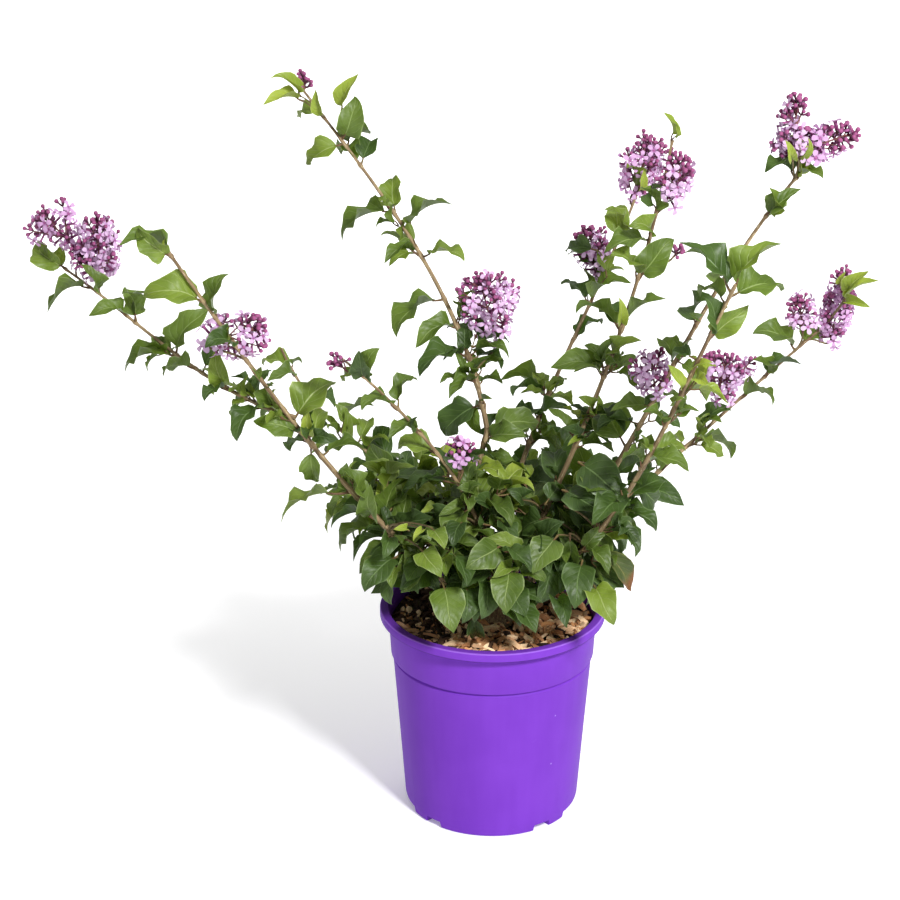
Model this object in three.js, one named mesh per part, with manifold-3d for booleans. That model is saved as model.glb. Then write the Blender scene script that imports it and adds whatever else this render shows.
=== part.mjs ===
import * as THREE from 'three';
import { mergeVertices } from 'three/addons/utils/BufferGeometryUtils.js';
import Module from 'manifold-3d';

// A young lilac bush in a nursery pot. Millimetres, +Z up, +X to the right, -Y to the front.
// The origin is the centre of the pot's flat underside.

const wasm = await Module();
wasm.setup();

// Pot
const potHeight = 254;
const rimRadius = 132.5;
const lipHeight = 11;
const lipBreadth = 10;
const collarTopRadius = 122.5;
const collarFootRadius = 119.8;
const collarFootZ = 197;
const stepFall = 3;
const bodyTopRadius = 117.2;
const footRadius = 103;
const wall = 3;
const floorThickness = 9;
const padRadius = 70;
const footRingWidth = 11;
const underRecess = 5;
const notchHeight = 6.5;
const potSides = 32;
// Each foot round the ring: its middle and its width in degrees, counted from the front to the right.
const footTurn = -4;
const feet = [[0, 65], [52, 14], [128, 14], [180, 65], [-128, 14], [-52, 14]];

// Potting mix and the woody base that the canes rise from
const mixDepthBelowRim = 18;
const mixZ = potHeight - mixDepthBelowRim;
const woodyBaseHeight = 34;
const woodyBaseRadius = 29;
const flareRadius = 37;
const woodyBaseSides = 10;

// Clearance that neighbouring solids keep
const gap = 0.4;

// Canes and shoots: foot, two handles and tip of a curve, with the radius at either end
const caneSides = 6;
const caneStep = 74;
const footZ = 258;
const limbs = {
  cane_left: { route: [[-22, -10, footZ], [-156, -48, 385], [-249, -108, 562], [-342, -170, 738]], r: [4.4, 2.2] },
  cane_back_left: { route: [[-20, 13, footZ], [-33, 62, 388], [-206, 140, 384], [-258, 220, 493]], r: [3.6, 1.8] },
  cane_slender: { route: [[-7, -7, footZ], [12, -39, 394], [-86, -84, 516], [-165, -130, 607]], r: [3.4, 1.6] },
  cane_centre: { route: [[-6, 6, footZ], [-27, 11, 325], [-32, 20, 394], [-6, 30, 465]], r: [4.8, 3.9] },
  cane_back_right: { route: [[2, 24, footZ], [14, 84, 426], [126, 180, 554], [187, 280, 700]], r: [4.2, 1.8] },
  cane_centre_right: { route: [[9, -2, footZ], [90, -4, 433], [163, -7, 620], [192, -10, 815]], r: [4.3, 1.8] },
  cane_tall_right: { route: [[24, -2, footZ], [162, -29, 421], [203, -69, 653], [336, -110, 831]], r: [4.6, 1.9] },
  cane_front_right: { route: [[18, -15, footZ], [152, -70, 363], [182, -154, 551], [239, -240, 725]], r: [4.4, 2.2] },
  cane_far_right: { route: [[21, 12, footZ], [148, 51, 345], [263, 110, 447], [397, 170, 540]], r: [4.0, 1.8] },
  branch_far_left: { route: [[-226, -97, 527], [-326, -55, 543], [-401, 7, 605], [-489, 70, 644]], r: [3.0, 1.7] },
  branch_tall_left: { route: [[-6, 30, 463], [-32, 55, 618], [-126, 92, 726], [-217, 130, 838]], r: [3.8, 1.8] },
  shoot_low_left: { route: [[-24, 2, footZ], [-40, 2, 292], [-58, 3, 318], [-84, 4, 342]], r: [3.2, 2.4] },
  shoot_low_front_left: { route: [[-14, -20, footZ], [-24, -32, 276], [-34, -44, 286], [-46, -56, 296]], r: [3.2, 2.4] },
  shoot_low_front: { route: [[-2, -24, footZ], [0, -38, 268], [2, -50, 276], [5, -62, 284]], r: [3, 2.3] },
  shoot_low_front_right: { route: [[9, -22, footZ], [20, -32, 276], [32, -38, 288], [46, -46, 298]], r: [3, 2.3] },
  shoot_low_back_left: { route: [[-10, 22, footZ], [-22, 40, 282], [-32, 52, 300], [-44, 64, 318]], r: [3.2, 2.4] },
  shoot_low_back_right: { route: [[13, 20, footZ], [40, 70, 330], [66, 150, 362], [96, 238, 350]], r: [3.6, 1.8] },
};

// Blossom heads: a cone of flowers from its stalk end to its point
const headSides = 6;
const headRings = 4;
const blossom = {
  blossom_far_left_outer: { from: [-484, 85, 672], to: [-530, 85, 716], width: 54 },
  blossom_far_left: { from: [-447, 55, 633], to: [-449, 55, 718], width: 58 },
  blossom_left: { from: [-255, -108, 612], to: [-324, -112, 646], width: 52 },
  blossom_slender: { from: [-158, -125, 606], to: [-182, -127, 620], width: 24 },
  blossom_low: { from: [-41, -60, 449], to: [-41, -60, 490], width: 33 },
  blossom_tall_left_side: { from: [8, 60, 556], to: [-27, 60, 653], width: 66 },
  blossom_tall_left_tip: { from: [-217, 130, 834], to: [-215, 130, 866], width: 26 },
  blossom_back_right_tip: { from: [181, 280, 671], to: [184, 280, 754], width: 66 },
  blossom_centre_right_tip: { from: [189, -10, 742], to: [207, -10, 808], width: 46 },
  blossom_back_right_side: { from: [124, 215, 585], to: [113, 215, 657], width: 50 },
  blossom_tall_right_tip: { from: [312, -110, 816], to: [312, -110, 896], width: 48 },
  blossom_tall_right_outer: { from: [322, -110, 818], to: [382, -110, 858], width: 48 },
  blossom_tall_right_side: { from: [182, -45, 530], to: [169, -45, 590], width: 50 },
  blossom_far_right_low: { from: [272, 110, 462], to: [286, 110, 538], width: 54 },
  blossom_far_right_mid: { from: [369, 150, 534], to: [361, 150, 591], width: 38 },
  blossom_far_right_tip: { from: [410, 172, 516], to: [421, 172, 622], width: 58 },
};

// Leaf masses strung along a cane: the shares of its length between which the leaves sit, how far
// they run past its tip, the half-width, and the leaf pairs in it
const sleeveSides = 6;
const sleeveRingsPerPair = 2;
const sleeves = {
  leaves_far_left: { limb: 'branch_far_left', from: 0.08, to: 0.97, past: 8, reach: 44, pairs: 3 },
  leaves_left_lower: { limb: 'cane_left', from: 0.34, to: 0.62, past: 0, reach: 48, pairs: 2 },
  leaves_left_upper: { limb: 'cane_left', from: 0.64, to: 1, past: 22, reach: 46, pairs: 3 },
  leaves_back_left: { limb: 'cane_back_left', from: 0.5, to: 1, past: 20, reach: 42, pairs: 3 },
  leaves_slender: { limb: 'cane_slender', from: 0.46, to: 0.96, past: 0, reach: 38, pairs: 3 },
  leaves_tall_left_lower: { limb: 'branch_tall_left', from: 0.02, to: 0.44, past: 0, reach: 46, pairs: 2 },
  leaves_tall_left_upper: { limb: 'branch_tall_left', from: 0.47, to: 1, past: 12, reach: 44, pairs: 3 },
  leaves_back_right: { limb: 'cane_back_right', from: 0.44, to: 0.97, past: 0, reach: 44, pairs: 3 },
  leaves_centre_right: { limb: 'cane_centre_right', from: 0.42, to: 1, past: 10, reach: 44, pairs: 3 },
  leaves_tall_right_lower: { limb: 'cane_tall_right', from: 0.36, to: 0.66, past: 0, reach: 52, pairs: 2 },
  leaves_tall_right_upper: { limb: 'cane_tall_right', from: 0.68, to: 0.98, past: 0, reach: 46, pairs: 3 },
  leaves_front_right: { limb: 'cane_front_right', from: 0.42, to: 1, past: 26, reach: 50, pairs: 3 },
  leaves_far_right: { limb: 'cane_far_right', from: 0.42, to: 0.97, past: 0, reach: 44, pairs: 3 },
  leaves_low_back_right: { limb: 'shoot_low_back_right', from: 0.62, to: 1, past: 24, reach: 42, pairs: 2 },
};

// Leaf masses that hang on no one cane: middle and half-sizes
const lobeDetail = 1;
const lobeUnevenness = 0.24;
const lobes = {
  leaves_far_right_tip: { middle: [446, 172, 578], half: [17, 24, 34] },
  leaves_base_top: { middle: [2, -8, 404], half: [94, 70, 56] },
  leaves_base_front_left: { middle: [-72, -74, 322], half: [72, 56, 68] },
  leaves_base_front: { middle: [12, -90, 318], half: [62, 52, 66] },
  leaves_base_front_right: { middle: [88, -66, 330], half: [66, 58, 74] },
  leaves_base_right: { middle: [118, 26, 356], half: [62, 66, 68] },
  leaves_base_left: { middle: [-134, 4, 366], half: [70, 64, 68] },
  leaves_base_back_left: { middle: [-76, 112, 346], half: [74, 72, 74] },
  leaves_base_back_right: { middle: [60, 120, 348], half: [74, 72, 74] },
};

const colours = {
  pot: 0x8e4eda,
  mix: 0x4a3426,
  bark: 0xa48a66,
  leaves: 0x3f6428,
  blossom: 0xb978bd,
};

// Solids ------------------------------------------------------------------------------------

function toSolid(geometry) {
  const bare = geometry.clone();
  bare.deleteAttribute('normal');
  bare.deleteAttribute('uv');
  const merged = mergeVertices(bare, 1e-3);
  const corners = merged.index.array;
  const kept = [];
  for (let i = 0; i < corners.length; i += 3) {
    const [a, b, c] = [corners[i], corners[i + 1], corners[i + 2]];
    if (a !== b && b !== c && c !== a) kept.push(a, b, c);
  }
  return new wasm.Manifold(new wasm.Mesh({
    numProp: 3,
    vertProperties: merged.attributes.position.array,
    triVerts: new Uint32Array(kept),
  }));
}

function toGeometry(solid) {
  const mesh = solid.getMesh();
  const geometry = new THREE.BufferGeometry();
  geometry.setAttribute('position', new THREE.BufferAttribute(new Float32Array(mesh.vertProperties), 3));
  geometry.setIndex(new THREE.BufferAttribute(new Uint32Array(mesh.triVerts), 1));
  geometry.computeVertexNormals();
  return geometry;
}

function largestPiece(solid) {
  const pieces = solid.decompose();
  return pieces.reduce((best, piece) => (piece.volume() > best.volume() ? piece : best));
}

// Cuts away every solid in the list that reaches into this one.
function cutClear(solid, others) {
  let left = solid;
  for (const other of others) {
    if (left.intersect(other).volume() > 0) left = left.subtract(other);
  }
  return largestPiece(left);
}

// Curves ------------------------------------------------------------------------------------

function curveOf(limb) {
  return new THREE.CubicBezierCurve3(...limb.route.map((point) => new THREE.Vector3(...point)));
}

// Point and cross directions at a distance along the curve, which runs on straight past its ends.
function frameAt(curve, distance) {
  const length = curve.getLength();
  const share = THREE.MathUtils.clamp(distance / length, 0, 1);
  const along = curve.getTangentAt(share);
  const point = curve.getPointAt(share).addScaledVector(along, distance - share * length);
  const heading = curve.getPointAt(1).sub(curve.getPointAt(0));
  const across = new THREE.Vector3(heading.y, -heading.x, 0);
  if (across.length() < 1) across.set(1, 0, 0);
  across.addScaledVector(along, -across.dot(along)).normalize();
  return { point, across, over: new THREE.Vector3().crossVectors(across, along) };
}

// Lays a geometry whose own axis is Y, from 0 to 1, along the curve between two distances.
function bend(geometry, curve, from, to) {
  const position = geometry.attributes.position;
  for (let i = 0; i < position.count; i += 1) {
    const frame = frameAt(curve, THREE.MathUtils.lerp(from, to, position.getY(i)));
    frame.point.addScaledVector(frame.across, position.getX(i));
    frame.point.addScaledVector(frame.over, position.getZ(i));
    position.setXYZ(i, frame.point.x, frame.point.y, frame.point.z);
  }
  return geometry;
}

// A number between -1 and 1 that varies slowly over a surface and differs from mass to mass.
function unevenness(x, y, z, seed) {
  const first = Math.sin(2.3 * x + 1.1 * z + 1.7 * seed);
  const second = Math.sin(2.9 * y - 1.3 * x + 2.6 * seed);
  const third = Math.sin(3.4 * z + 0.9 * y + 0.8 * seed);
  return (first + second + third) / 3;
}

// Pot ---------------------------------------------------------------------------------------

function outerRadiusAt(z) {
  return THREE.MathUtils.lerp(footRadius, bodyTopRadius, z / (collarFootZ - stepFall));
}

function potSolid() {
  const lipZ = potHeight - lipHeight;
  const stepZ = collarFootZ - stepFall;
  const ringInner = footRadius - footRingWidth;
  const innerLip = rimRadius - lipBreadth;
  const profile = [
    [0, 0],
    [padRadius, 0],
    [padRadius + 2, underRecess],
    [ringInner - 2, underRecess],
    [ringInner, 0],
    [footRadius - 1.5, 0],
    [outerRadiusAt(2), 2],
    [bodyTopRadius, stepZ],
    [collarFootRadius, collarFootZ],
    [collarTopRadius, lipZ],
    [rimRadius, lipZ],
    [rimRadius, potHeight - 1],
    [rimRadius - 1, potHeight],
    [innerLip, potHeight],
    [collarTopRadius - wall, lipZ],
    [collarFootRadius - wall, collarFootZ],
    [bodyTopRadius - wall, stepZ],
    [outerRadiusAt(floorThickness) - wall, floorThickness],
    [0, floorThickness],
  ];
  const points = profile.map(([radius, z]) => new THREE.Vector2(radius, z));
  const shell = toSolid(new THREE.LatheGeometry(points, potSides).rotateX(Math.PI / 2));
  return cutClear(shell, footNotches());
}

// The gaps between the feet, each a block of a ring's sector.
function footNotches() {
  const inner = footRadius - footRingWidth - 3;
  const outer = footRadius + 4;
  return feet.map(([middle, width], i) => {
    const [nextMiddle, nextWidth] = feet[(i + 1) % feet.length];
    const start = middle + width / 2;
    const end = (nextMiddle <= middle ? nextMiddle + 360 : nextMiddle) - nextWidth / 2;
    const [a, b] = [start, end].map((turn) => THREE.MathUtils.degToRad(turn + footTurn - 90));
    const sector = new THREE.Shape();
    sector.absarc(0, 0, outer, a, b, false);
    sector.absarc(0, 0, inner, b, a, true);
    sector.closePath();
    const block = new THREE.ExtrudeGeometry(sector, { depth: notchHeight + 5, bevelEnabled: false, curveSegments: 3 });
    return toSolid(block.translate(0, 0, -5));
  });
}

// Potting mix: a plug that fills the pot up to its own level surface.
function mixSolid() {
  const inner = (z, radius) => new THREE.Vector2(radius - wall - gap, z);
  const share = (mixZ - collarFootZ) / (potHeight - lipHeight - collarFootZ);
  const points = [
    new THREE.Vector2(0, floorThickness + gap),
    inner(floorThickness + gap, outerRadiusAt(floorThickness)),
    inner(collarFootZ - stepFall, bodyTopRadius),
    inner(collarFootZ, collarFootRadius),
    inner(mixZ, THREE.MathUtils.lerp(collarFootRadius, collarTopRadius, share)),
    new THREE.Vector2(0, mixZ),
  ];
  return toSolid(new THREE.LatheGeometry(points, potSides).rotateX(Math.PI / 2));
}

// Woody base: a low knuckled stump with a flare where it meets the mix.
function woodyBaseSolid(grow) {
  const base = mixZ + gap - grow;
  const top = mixZ + gap + woodyBaseHeight + grow;
  const outline = [[0, 0], [flareRadius, 0], [woodyBaseRadius + 2, 0.3], [woodyBaseRadius, 0.78], [woodyBaseRadius * 0.6, 1], [0, 1]];
  const points = outline.map(([radius, share]) => (
    new THREE.Vector2(radius > 0 ? radius + grow : 0, THREE.MathUtils.lerp(base, top, share))
  ));
  const geometry = new THREE.LatheGeometry(points, woodyBaseSides).rotateX(Math.PI / 2);
  const position = geometry.attributes.position;
  for (let i = 0; i < position.count; i += 1) {
    const turn = Math.atan2(position.getY(i), position.getX(i));
    const knuckle = 1 + 0.06 * Math.cos(5 * turn + 0.4) + 0.04 * Math.cos(3 * turn);
    position.setXY(i, position.getX(i) * knuckle, position.getY(i) * knuckle);
  }
  return toSolid(geometry);
}

// Canes, leaves and blossom -----------------------------------------------------------------

function limbSolid(limb, grow) {
  const curve = curveOf(limb);
  const length = curve.getLength();
  const steps = Math.max(2, Math.round(length / caneStep));
  const [footR, tipR] = limb.r;
  const rod = new THREE.CylinderGeometry(tipR + grow, footR + grow, 1, caneSides, steps).translate(0, 0.5, 0);
  return toSolid(bend(rod, curve, -grow, length + grow));
}

// Leaf pairs along a cane: the mass swells at each pair, one way and then the other.
function sleeveSolid(sleeve, seed, grow) {
  const curve = curveOf(limbs[sleeve.limb]);
  const length = curve.getLength();
  const rings = sleeve.pairs * sleeveRingsPerPair;
  const points = [new THREE.Vector2(0, 0)];
  for (let i = 1; i < rings; i += 1) points.push(new THREE.Vector2(1, i / rings));
  points.push(new THREE.Vector2(0, 1));
  const geometry = new THREE.LatheGeometry(points, sleeveSides);
  const position = geometry.attributes.position;
  for (let i = 0; i < position.count; i += 1) {
    const [x, y, z] = [position.getX(i), position.getY(i), position.getZ(i)];
    const phase = y * sleeve.pairs * Math.PI;
    const swell = 0.8 + 0.2 * Math.abs(Math.sin(phase));
    const taper = 1 - 0.16 * y;
    const wide = 1 + 0.14 * Math.sin(phase / 2 + seed);
    const bump = 1 + 0.1 * unevenness(2 * x, 9 * y, 2 * z, seed);
    const radius = sleeve.reach * swell * taper * bump + grow;
    position.setXYZ(i, x * radius * wide, y, z * radius * (2 - wide));
  }
  return toSolid(bend(geometry, curve, sleeve.from * length - grow, sleeve.to * length + sleeve.past + grow));
}

function headSolid(head, seed, grow) {
  const from = new THREE.Vector3(...head.from);
  const to = new THREE.Vector3(...head.to);
  const axis = to.clone().sub(from).normalize();
  from.addScaledVector(axis, -grow);
  to.addScaledVector(axis, grow);
  const points = [new THREE.Vector2(0, 0)];
  for (let i = 1; i < headRings; i += 1) points.push(new THREE.Vector2(1, i / headRings - 0.06));
  points.push(new THREE.Vector2(0, 1));
  const geometry = new THREE.LatheGeometry(points, headSides);
  const position = geometry.attributes.position;
  for (let i = 0; i < position.count; i += 1) {
    const [x, y, z] = [position.getX(i), position.getY(i), position.getZ(i)];
    const cone = 1.06 - 0.5 * y * y;
    const radius = (head.width / 2) * cone * (1 + 0.14 * unevenness(3 * x, 6 * y, 3 * z, seed)) + grow;
    position.setXYZ(i, x * radius, y, z * radius);
  }
  return toSolid(bend(geometry, new THREE.LineCurve3(from, to), 0, from.distanceTo(to)));
}

function lobeSolid(lobe, seed, grow) {
  const geometry = new THREE.IcosahedronGeometry(1, lobeDetail);
  const position = geometry.attributes.position;
  for (let i = 0; i < position.count; i += 1) {
    const [x, y, z] = [position.getX(i), position.getY(i), position.getZ(i)];
    const bump = 1 + lobeUnevenness * unevenness(1.6 * x, 1.6 * y, 1.6 * z, seed);
    const [hx, hy, hz] = lobe.half;
    const [mx, my, mz] = lobe.middle;
    position.setXYZ(i, mx + x * (hx * bump + grow), my + y * (hy * bump + grow), mz + z * (hz * bump + grow));
  }
  return toSolid(geometry);
}

// Assembly ----------------------------------------------------------------------------------

const bush = new THREE.Group();

function add(name, solid, colour, roughness) {
  const material = new THREE.MeshStandardMaterial({ color: colour, roughness, metalness: 0 });
  const mesh = new THREE.Mesh(toGeometry(solid), material);
  mesh.name = name;
  bush.add(mesh);
}

add('pot', potSolid(), colours.pot, 0.35);
add('potting_mix', mixSolid(), colours.mix, 0.95);
add('woody_base', woodyBaseSolid(0), colours.bark, 0.85);

// Each limb stops short of what it grows from, and each mass leaves room for every limb and for
// the masses before it.
const taken = [woodyBaseSolid(gap)];
for (const [name, limb] of Object.entries(limbs)) {
  add(name, cutClear(limbSolid(limb, 0), taken), colours.bark, 0.8);
  taken.push(limbSolid(limb, gap));
}

const masses = [
  [blossom, headSolid, colours.blossom, 0.7],
  [sleeves, sleeveSolid, colours.leaves, 0.6],
  [lobes, lobeSolid, colours.leaves, 0.6],
];
let seed = 0;
for (const [table, makeSolid, colour, roughness] of masses) {
  for (const [name, mass] of Object.entries(table)) {
    seed += 1;
    add(name, cutClear(makeSolid(mass, seed, 0), taken), colour, roughness);
    taken.push(makeSolid(mass, seed, gap));
  }
}

export default bush;
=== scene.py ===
import math
import random

import bpy
import numpy as np
from mathutils import Matrix, Quaternion, Vector


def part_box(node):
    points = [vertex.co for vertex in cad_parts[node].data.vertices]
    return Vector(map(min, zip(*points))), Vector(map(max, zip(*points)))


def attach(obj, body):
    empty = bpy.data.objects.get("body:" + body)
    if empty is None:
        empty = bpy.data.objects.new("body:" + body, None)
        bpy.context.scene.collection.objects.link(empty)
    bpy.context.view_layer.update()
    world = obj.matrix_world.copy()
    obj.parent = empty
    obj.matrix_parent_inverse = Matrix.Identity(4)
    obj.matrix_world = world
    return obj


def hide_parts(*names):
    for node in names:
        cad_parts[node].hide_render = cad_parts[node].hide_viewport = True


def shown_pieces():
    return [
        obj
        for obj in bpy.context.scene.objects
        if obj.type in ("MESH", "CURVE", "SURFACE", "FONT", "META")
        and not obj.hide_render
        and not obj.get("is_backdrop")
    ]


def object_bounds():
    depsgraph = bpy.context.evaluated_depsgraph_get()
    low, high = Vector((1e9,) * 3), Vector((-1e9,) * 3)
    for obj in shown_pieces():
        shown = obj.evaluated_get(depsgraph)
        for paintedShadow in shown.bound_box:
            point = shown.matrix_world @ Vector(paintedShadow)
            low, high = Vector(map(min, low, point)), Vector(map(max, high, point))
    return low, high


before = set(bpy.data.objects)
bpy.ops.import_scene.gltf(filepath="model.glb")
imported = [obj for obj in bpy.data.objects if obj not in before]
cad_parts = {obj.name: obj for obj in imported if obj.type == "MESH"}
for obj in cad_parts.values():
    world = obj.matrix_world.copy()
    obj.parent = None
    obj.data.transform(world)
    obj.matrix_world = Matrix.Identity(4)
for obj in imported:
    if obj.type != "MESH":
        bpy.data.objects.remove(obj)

# A potted lilac: metres, +Z up, -Y to the front. The canes, blossom heads and leaf masses of the
# frame say where everything grows; this script gives them bark, leaves and flowers.
cadLow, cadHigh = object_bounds()
mm = 0.001
up = Vector((0, 0, 1))
seeds = {"canes": 20, "masses": 41, "looseLeaves": 46, "heads": 77, "sideHeads": 76, "mix": 5, "chips": 100}


def say(text):
    print("lilac:", text)


# Shader and geometry trees


class Wire:
    # a socket that can be written into a sum; each sign adds its Math node
    def __init__(self, maker, socket):
        self.maker = maker
        self.socket = socket

    def __add__(self, other):
        return self.maker.maths("ADD", self, other)

    def __radd__(self, other):
        return self.maker.maths("ADD", other, self)

    def __sub__(self, other):
        return self.maker.maths("SUBTRACT", self, other)

    def __rsub__(self, other):
        return self.maker.maths("SUBTRACT", other, self)

    def __mul__(self, other):
        return self.maker.maths("MULTIPLY", self, other)

    def __rmul__(self, other):
        return self.maker.maths("MULTIPLY", other, self)

    def __pow__(self, other):
        return self.maker.maths("POWER", self, other)

    def __abs__(self):
        return self.maker.maths("ABSOLUTE", self)


class Maker:
    # adds nodes to one tree
    def __init__(self, tree):
        self.tree = tree

    def node(self, kind, inputs, output=0, **settings):
        made = self.tree.nodes.new(kind)
        for name, value in settings.items():
            setattr(made, name, value)
        for key, value in inputs.items():
            if isinstance(value, Wire):
                self.tree.links.new(value.socket, made.inputs[key])
            else:
                made.inputs[key].default_value = value
        return Wire(self, made.outputs[output]) if made.outputs else None

    def maths(self, operation, *values):
        return self.node("ShaderNodeMath", dict(enumerate(values)), operation=operation)

    def vector(self, operation, inputs, output=0):
        return self.node("ShaderNodeVectorMath", inputs, output, operation=operation)

    def stretch(self, place, factors):
        return self.vector("MULTIPLY", {0: place, 1: factors})

    def part(self, vector, axis):
        return self.node("ShaderNodeSeparateXYZ", {0: vector}, axis)

    def fade(self, value, low, high):
        # 0 below low and 1 above high, with soft ends
        return self.node("ShaderNodeMapRange", {"Value": value, "From Min": low, "From Max": high},
                         interpolation_type="SMOOTHSTEP")

    def blend(self, share, first, second):
        return self.node("ShaderNodeMix", {0: share, 6: first, 7: second}, 2, data_type="RGBA")

    def noise(self, place, scale, detail=2.0, roughness=0.5):
        return self.node("ShaderNodeTexNoise",
                         {"Vector": place, "Scale": scale, "Detail": detail, "Roughness": roughness})

    def dots(self, place, scale, full, gone):
        # scattered round dots, given by how far out they are full and where they are gone
        cell = self.node("ShaderNodeTexVoronoi", {"Vector": place, "Scale": scale}, feature="F1")
        return 1 - self.fade(cell, full, gone)

    def bump(self, height, strength, depth):
        return self.node("ShaderNodeBump", {"Strength": strength, "Distance": depth, "Height": height})

    def objectPlace(self):
        return self.node("ShaderNodeTexCoord", {}, 3)

    def shapeMap(self):
        return self.node("ShaderNodeUVMap", {}, uv_map="shapeMap")

    def stored(self, shape, name, value, kind="FLOAT", domain="POINT"):
        return self.node("GeometryNodeStoreNamedAttribute", {"Geometry": shape, "Name": name, "Value": value},
                         data_type=kind, domain=domain)

    def named(self, name, kind="FLOAT"):
        return self.node("GeometryNodeInputNamedAttribute", {"Name": name}, data_type=kind)

    def drawn(self, kind, low, high, seed):
        # a random value for each point; the node has its own sockets for each kind of value
        number = ("FLOAT_VECTOR", "FLOAT", "INT").index(kind)
        ends = {2 * number: low, 2 * number + 1: high}
        return self.node("FunctionNodeRandomValue", ends | {"Seed": seed}, number, data_type=kind)

    def shapesOn(self, points, library, kind, turn, size):
        # one shape on each point, picked from the library by its number
        shapes = self.node("GeometryNodeCollectionInfo",
                           {"Collection": library, "Separate Children": True, "Reset Children": True})
        return self.node("GeometryNodeInstanceOnPoints", {
            "Points": points, "Instance": shapes, "Pick Instance": True, "Instance Index": kind,
            "Rotation": turn, "Scale": size})


def tint(*paint):
    # a linear colour from the 0 to 255 values that a paint chart gives
    shares = [part / 255 for part in paint]
    return (*(share / 12.92 if share <= 0.04045 else ((share + 0.055) / 1.055) ** 2.4 for share in shares), 1)


def newLook(name):
    look = bpy.data.materials.new(name)
    look.use_nodes = True
    look.node_tree.nodes.clear()
    return look, Maker(look.node_tree)


def shade(maker, surface, through=None, share=0.0):
    # the Principled surface, with a share of light that comes through a thin leaf or petal
    shader = maker.node("ShaderNodeBsdfPrincipled", surface)
    if through is not None:
        glow = maker.node("ShaderNodeBsdfTranslucent", {"Color": through})
        shader = maker.node("ShaderNodeMixShader", {0: share, 1: shader, 2: glow})
    maker.node("ShaderNodeOutputMaterial", {"Surface": shader})


def newTree(name, inputs):
    # a tree that takes a shape, the given inputs and a look
    tree = bpy.data.node_groups.new(name, "GeometryNodeTree")
    for label, kind in ({"Geometry": "Geometry"} | inputs | {"Look": "Material"}).items():
        tree.interface.new_socket(label, in_out="INPUT", socket_type="NodeSocket" + kind)
    tree.interface.new_socket("Geometry", in_out="OUTPUT", socket_type="NodeSocketGeometry")
    maker = Maker(tree)
    source = tree.nodes.new("NodeGroupInput")
    return tree, maker, {socket.name: Wire(maker, socket) for socket in source.outputs if socket.name}


def endTree(maker, shape, given):
    whole = maker.node("GeometryNodeRealizeInstances", {"Geometry": shape})
    coloured = maker.node("GeometryNodeSetMaterial", {"Geometry": whole, "Material": given["Look"]})
    maker.node("NodeGroupOutput", {"Geometry": coloured})


# Objects and meshes


def newObject(name, data):
    made = bpy.data.objects.new(name, data)
    bpy.context.scene.collection.objects.link(made)
    return made


def grown(name, data, tree, values):
    # runs the tree on a mesh or curve and keeps the result as a plain mesh
    source = newObject(name + "Source", data)
    modifier = source.modifiers.new(name, "NODES")
    modifier.node_group = tree
    for socket in tree.interface.items_tree:
        if socket.item_type == "SOCKET" and socket.in_out == "INPUT" and socket.name in values:
            modifier[socket.identifier] = values[socket.name]
    bpy.context.view_layer.update()
    shown = source.evaluated_get(bpy.context.evaluated_depsgraph_get())
    mesh = bpy.data.meshes.new_from_object(shown)
    mesh.name = name
    source.modifiers.remove(modifier)
    bpy.data.objects.remove(source)
    mesh.shade_smooth()
    return newObject(name, mesh)


def meshOf(name, points, faces, uvs=None):
    mesh = bpy.data.meshes.new(name)
    mesh.from_pydata([tuple(point) for point in points], [], faces)
    if uvs is not None:
        layer = mesh.uv_layers.new(name="shapeMap")
        for loop in mesh.loops:
            layer.data[loop.index].uv = uvs[loop.vertex_index]
    mesh.update()
    return mesh


def quads(rows, columns, closed, flipped=False, first=0):
    # faces between rows of points; a closed row goes all the way round
    faces = []
    for row in range(rows - 1):
        for column in range(columns if closed else columns - 1):
            a = first + row * columns + column
            b = first + row * columns + (column + 1) % columns
            faces.append((a, a + columns, b + columns, b) if flipped else (a, b, b + columns, a + columns))
    return faces


def shell(name, rings, middles=None, flipped=False, uvs=None):
    # a closed mesh over rings of points, with a flat face or a fan round a middle point at each end
    count = len(rings[0])
    points = [point for ring in rings for point in ring]
    last = len(points) - count
    if middles:
        pairs = [(index, (index + 1) % count) for index in range(count)]
        ends = [(len(points), b, a) for a, b in pairs]
        ends += [(len(points) + 1, last + a, last + b) for a, b in pairs]
        points += middles
    else:
        ends = [tuple(reversed(range(count))), tuple(range(last, last + count))]
    if flipped:
        ends = [face[::-1] for face in ends]
    return meshOf(name, points, quads(len(rings), count, True, flipped) + ends, uvs)


def polar(radius, turn, height):
    return (radius * math.cos(turn), radius * math.sin(turn), height)


def circle(radius, height, count):
    return [polar(radius, math.tau * step / count, height) for step in range(count)]


def shapeLibrary(name, meshes):
    # a collection outside the scene whose objects are picked by number
    library = bpy.data.collections.new(name)
    for number, mesh in enumerate(meshes):
        library.objects.link(bpy.data.objects.new(f"{name}{number:02d}", mesh))
    return library


def keep(piece, slotName, *replaced):
    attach(piece, "root")
    if replaced:
        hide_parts(*replaced)


# Camera, light and floor

cameraSetup = {"lens": 96, "place": (-0.050, -2.556, 1.471), "pitchDown": 21.79}
lampSetup = {
    "key": {"place": (1.2, -2.25, 2.45), "size": 0.5, "power": 132, "spread": 180},
    "fill": {"place": (-2.2, -2.2, 1.6), "size": 2.4, "power": 1.5, "spread": 180},
    "backdrop": {"place": (0, 3.6, 2.7), "size": 5.0, "power": 120, "spread": 90},
}
skyStrength = 0.35
floorSetup = {"half": 14, "paint": 0.93, "glow": 0.22}


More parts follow.
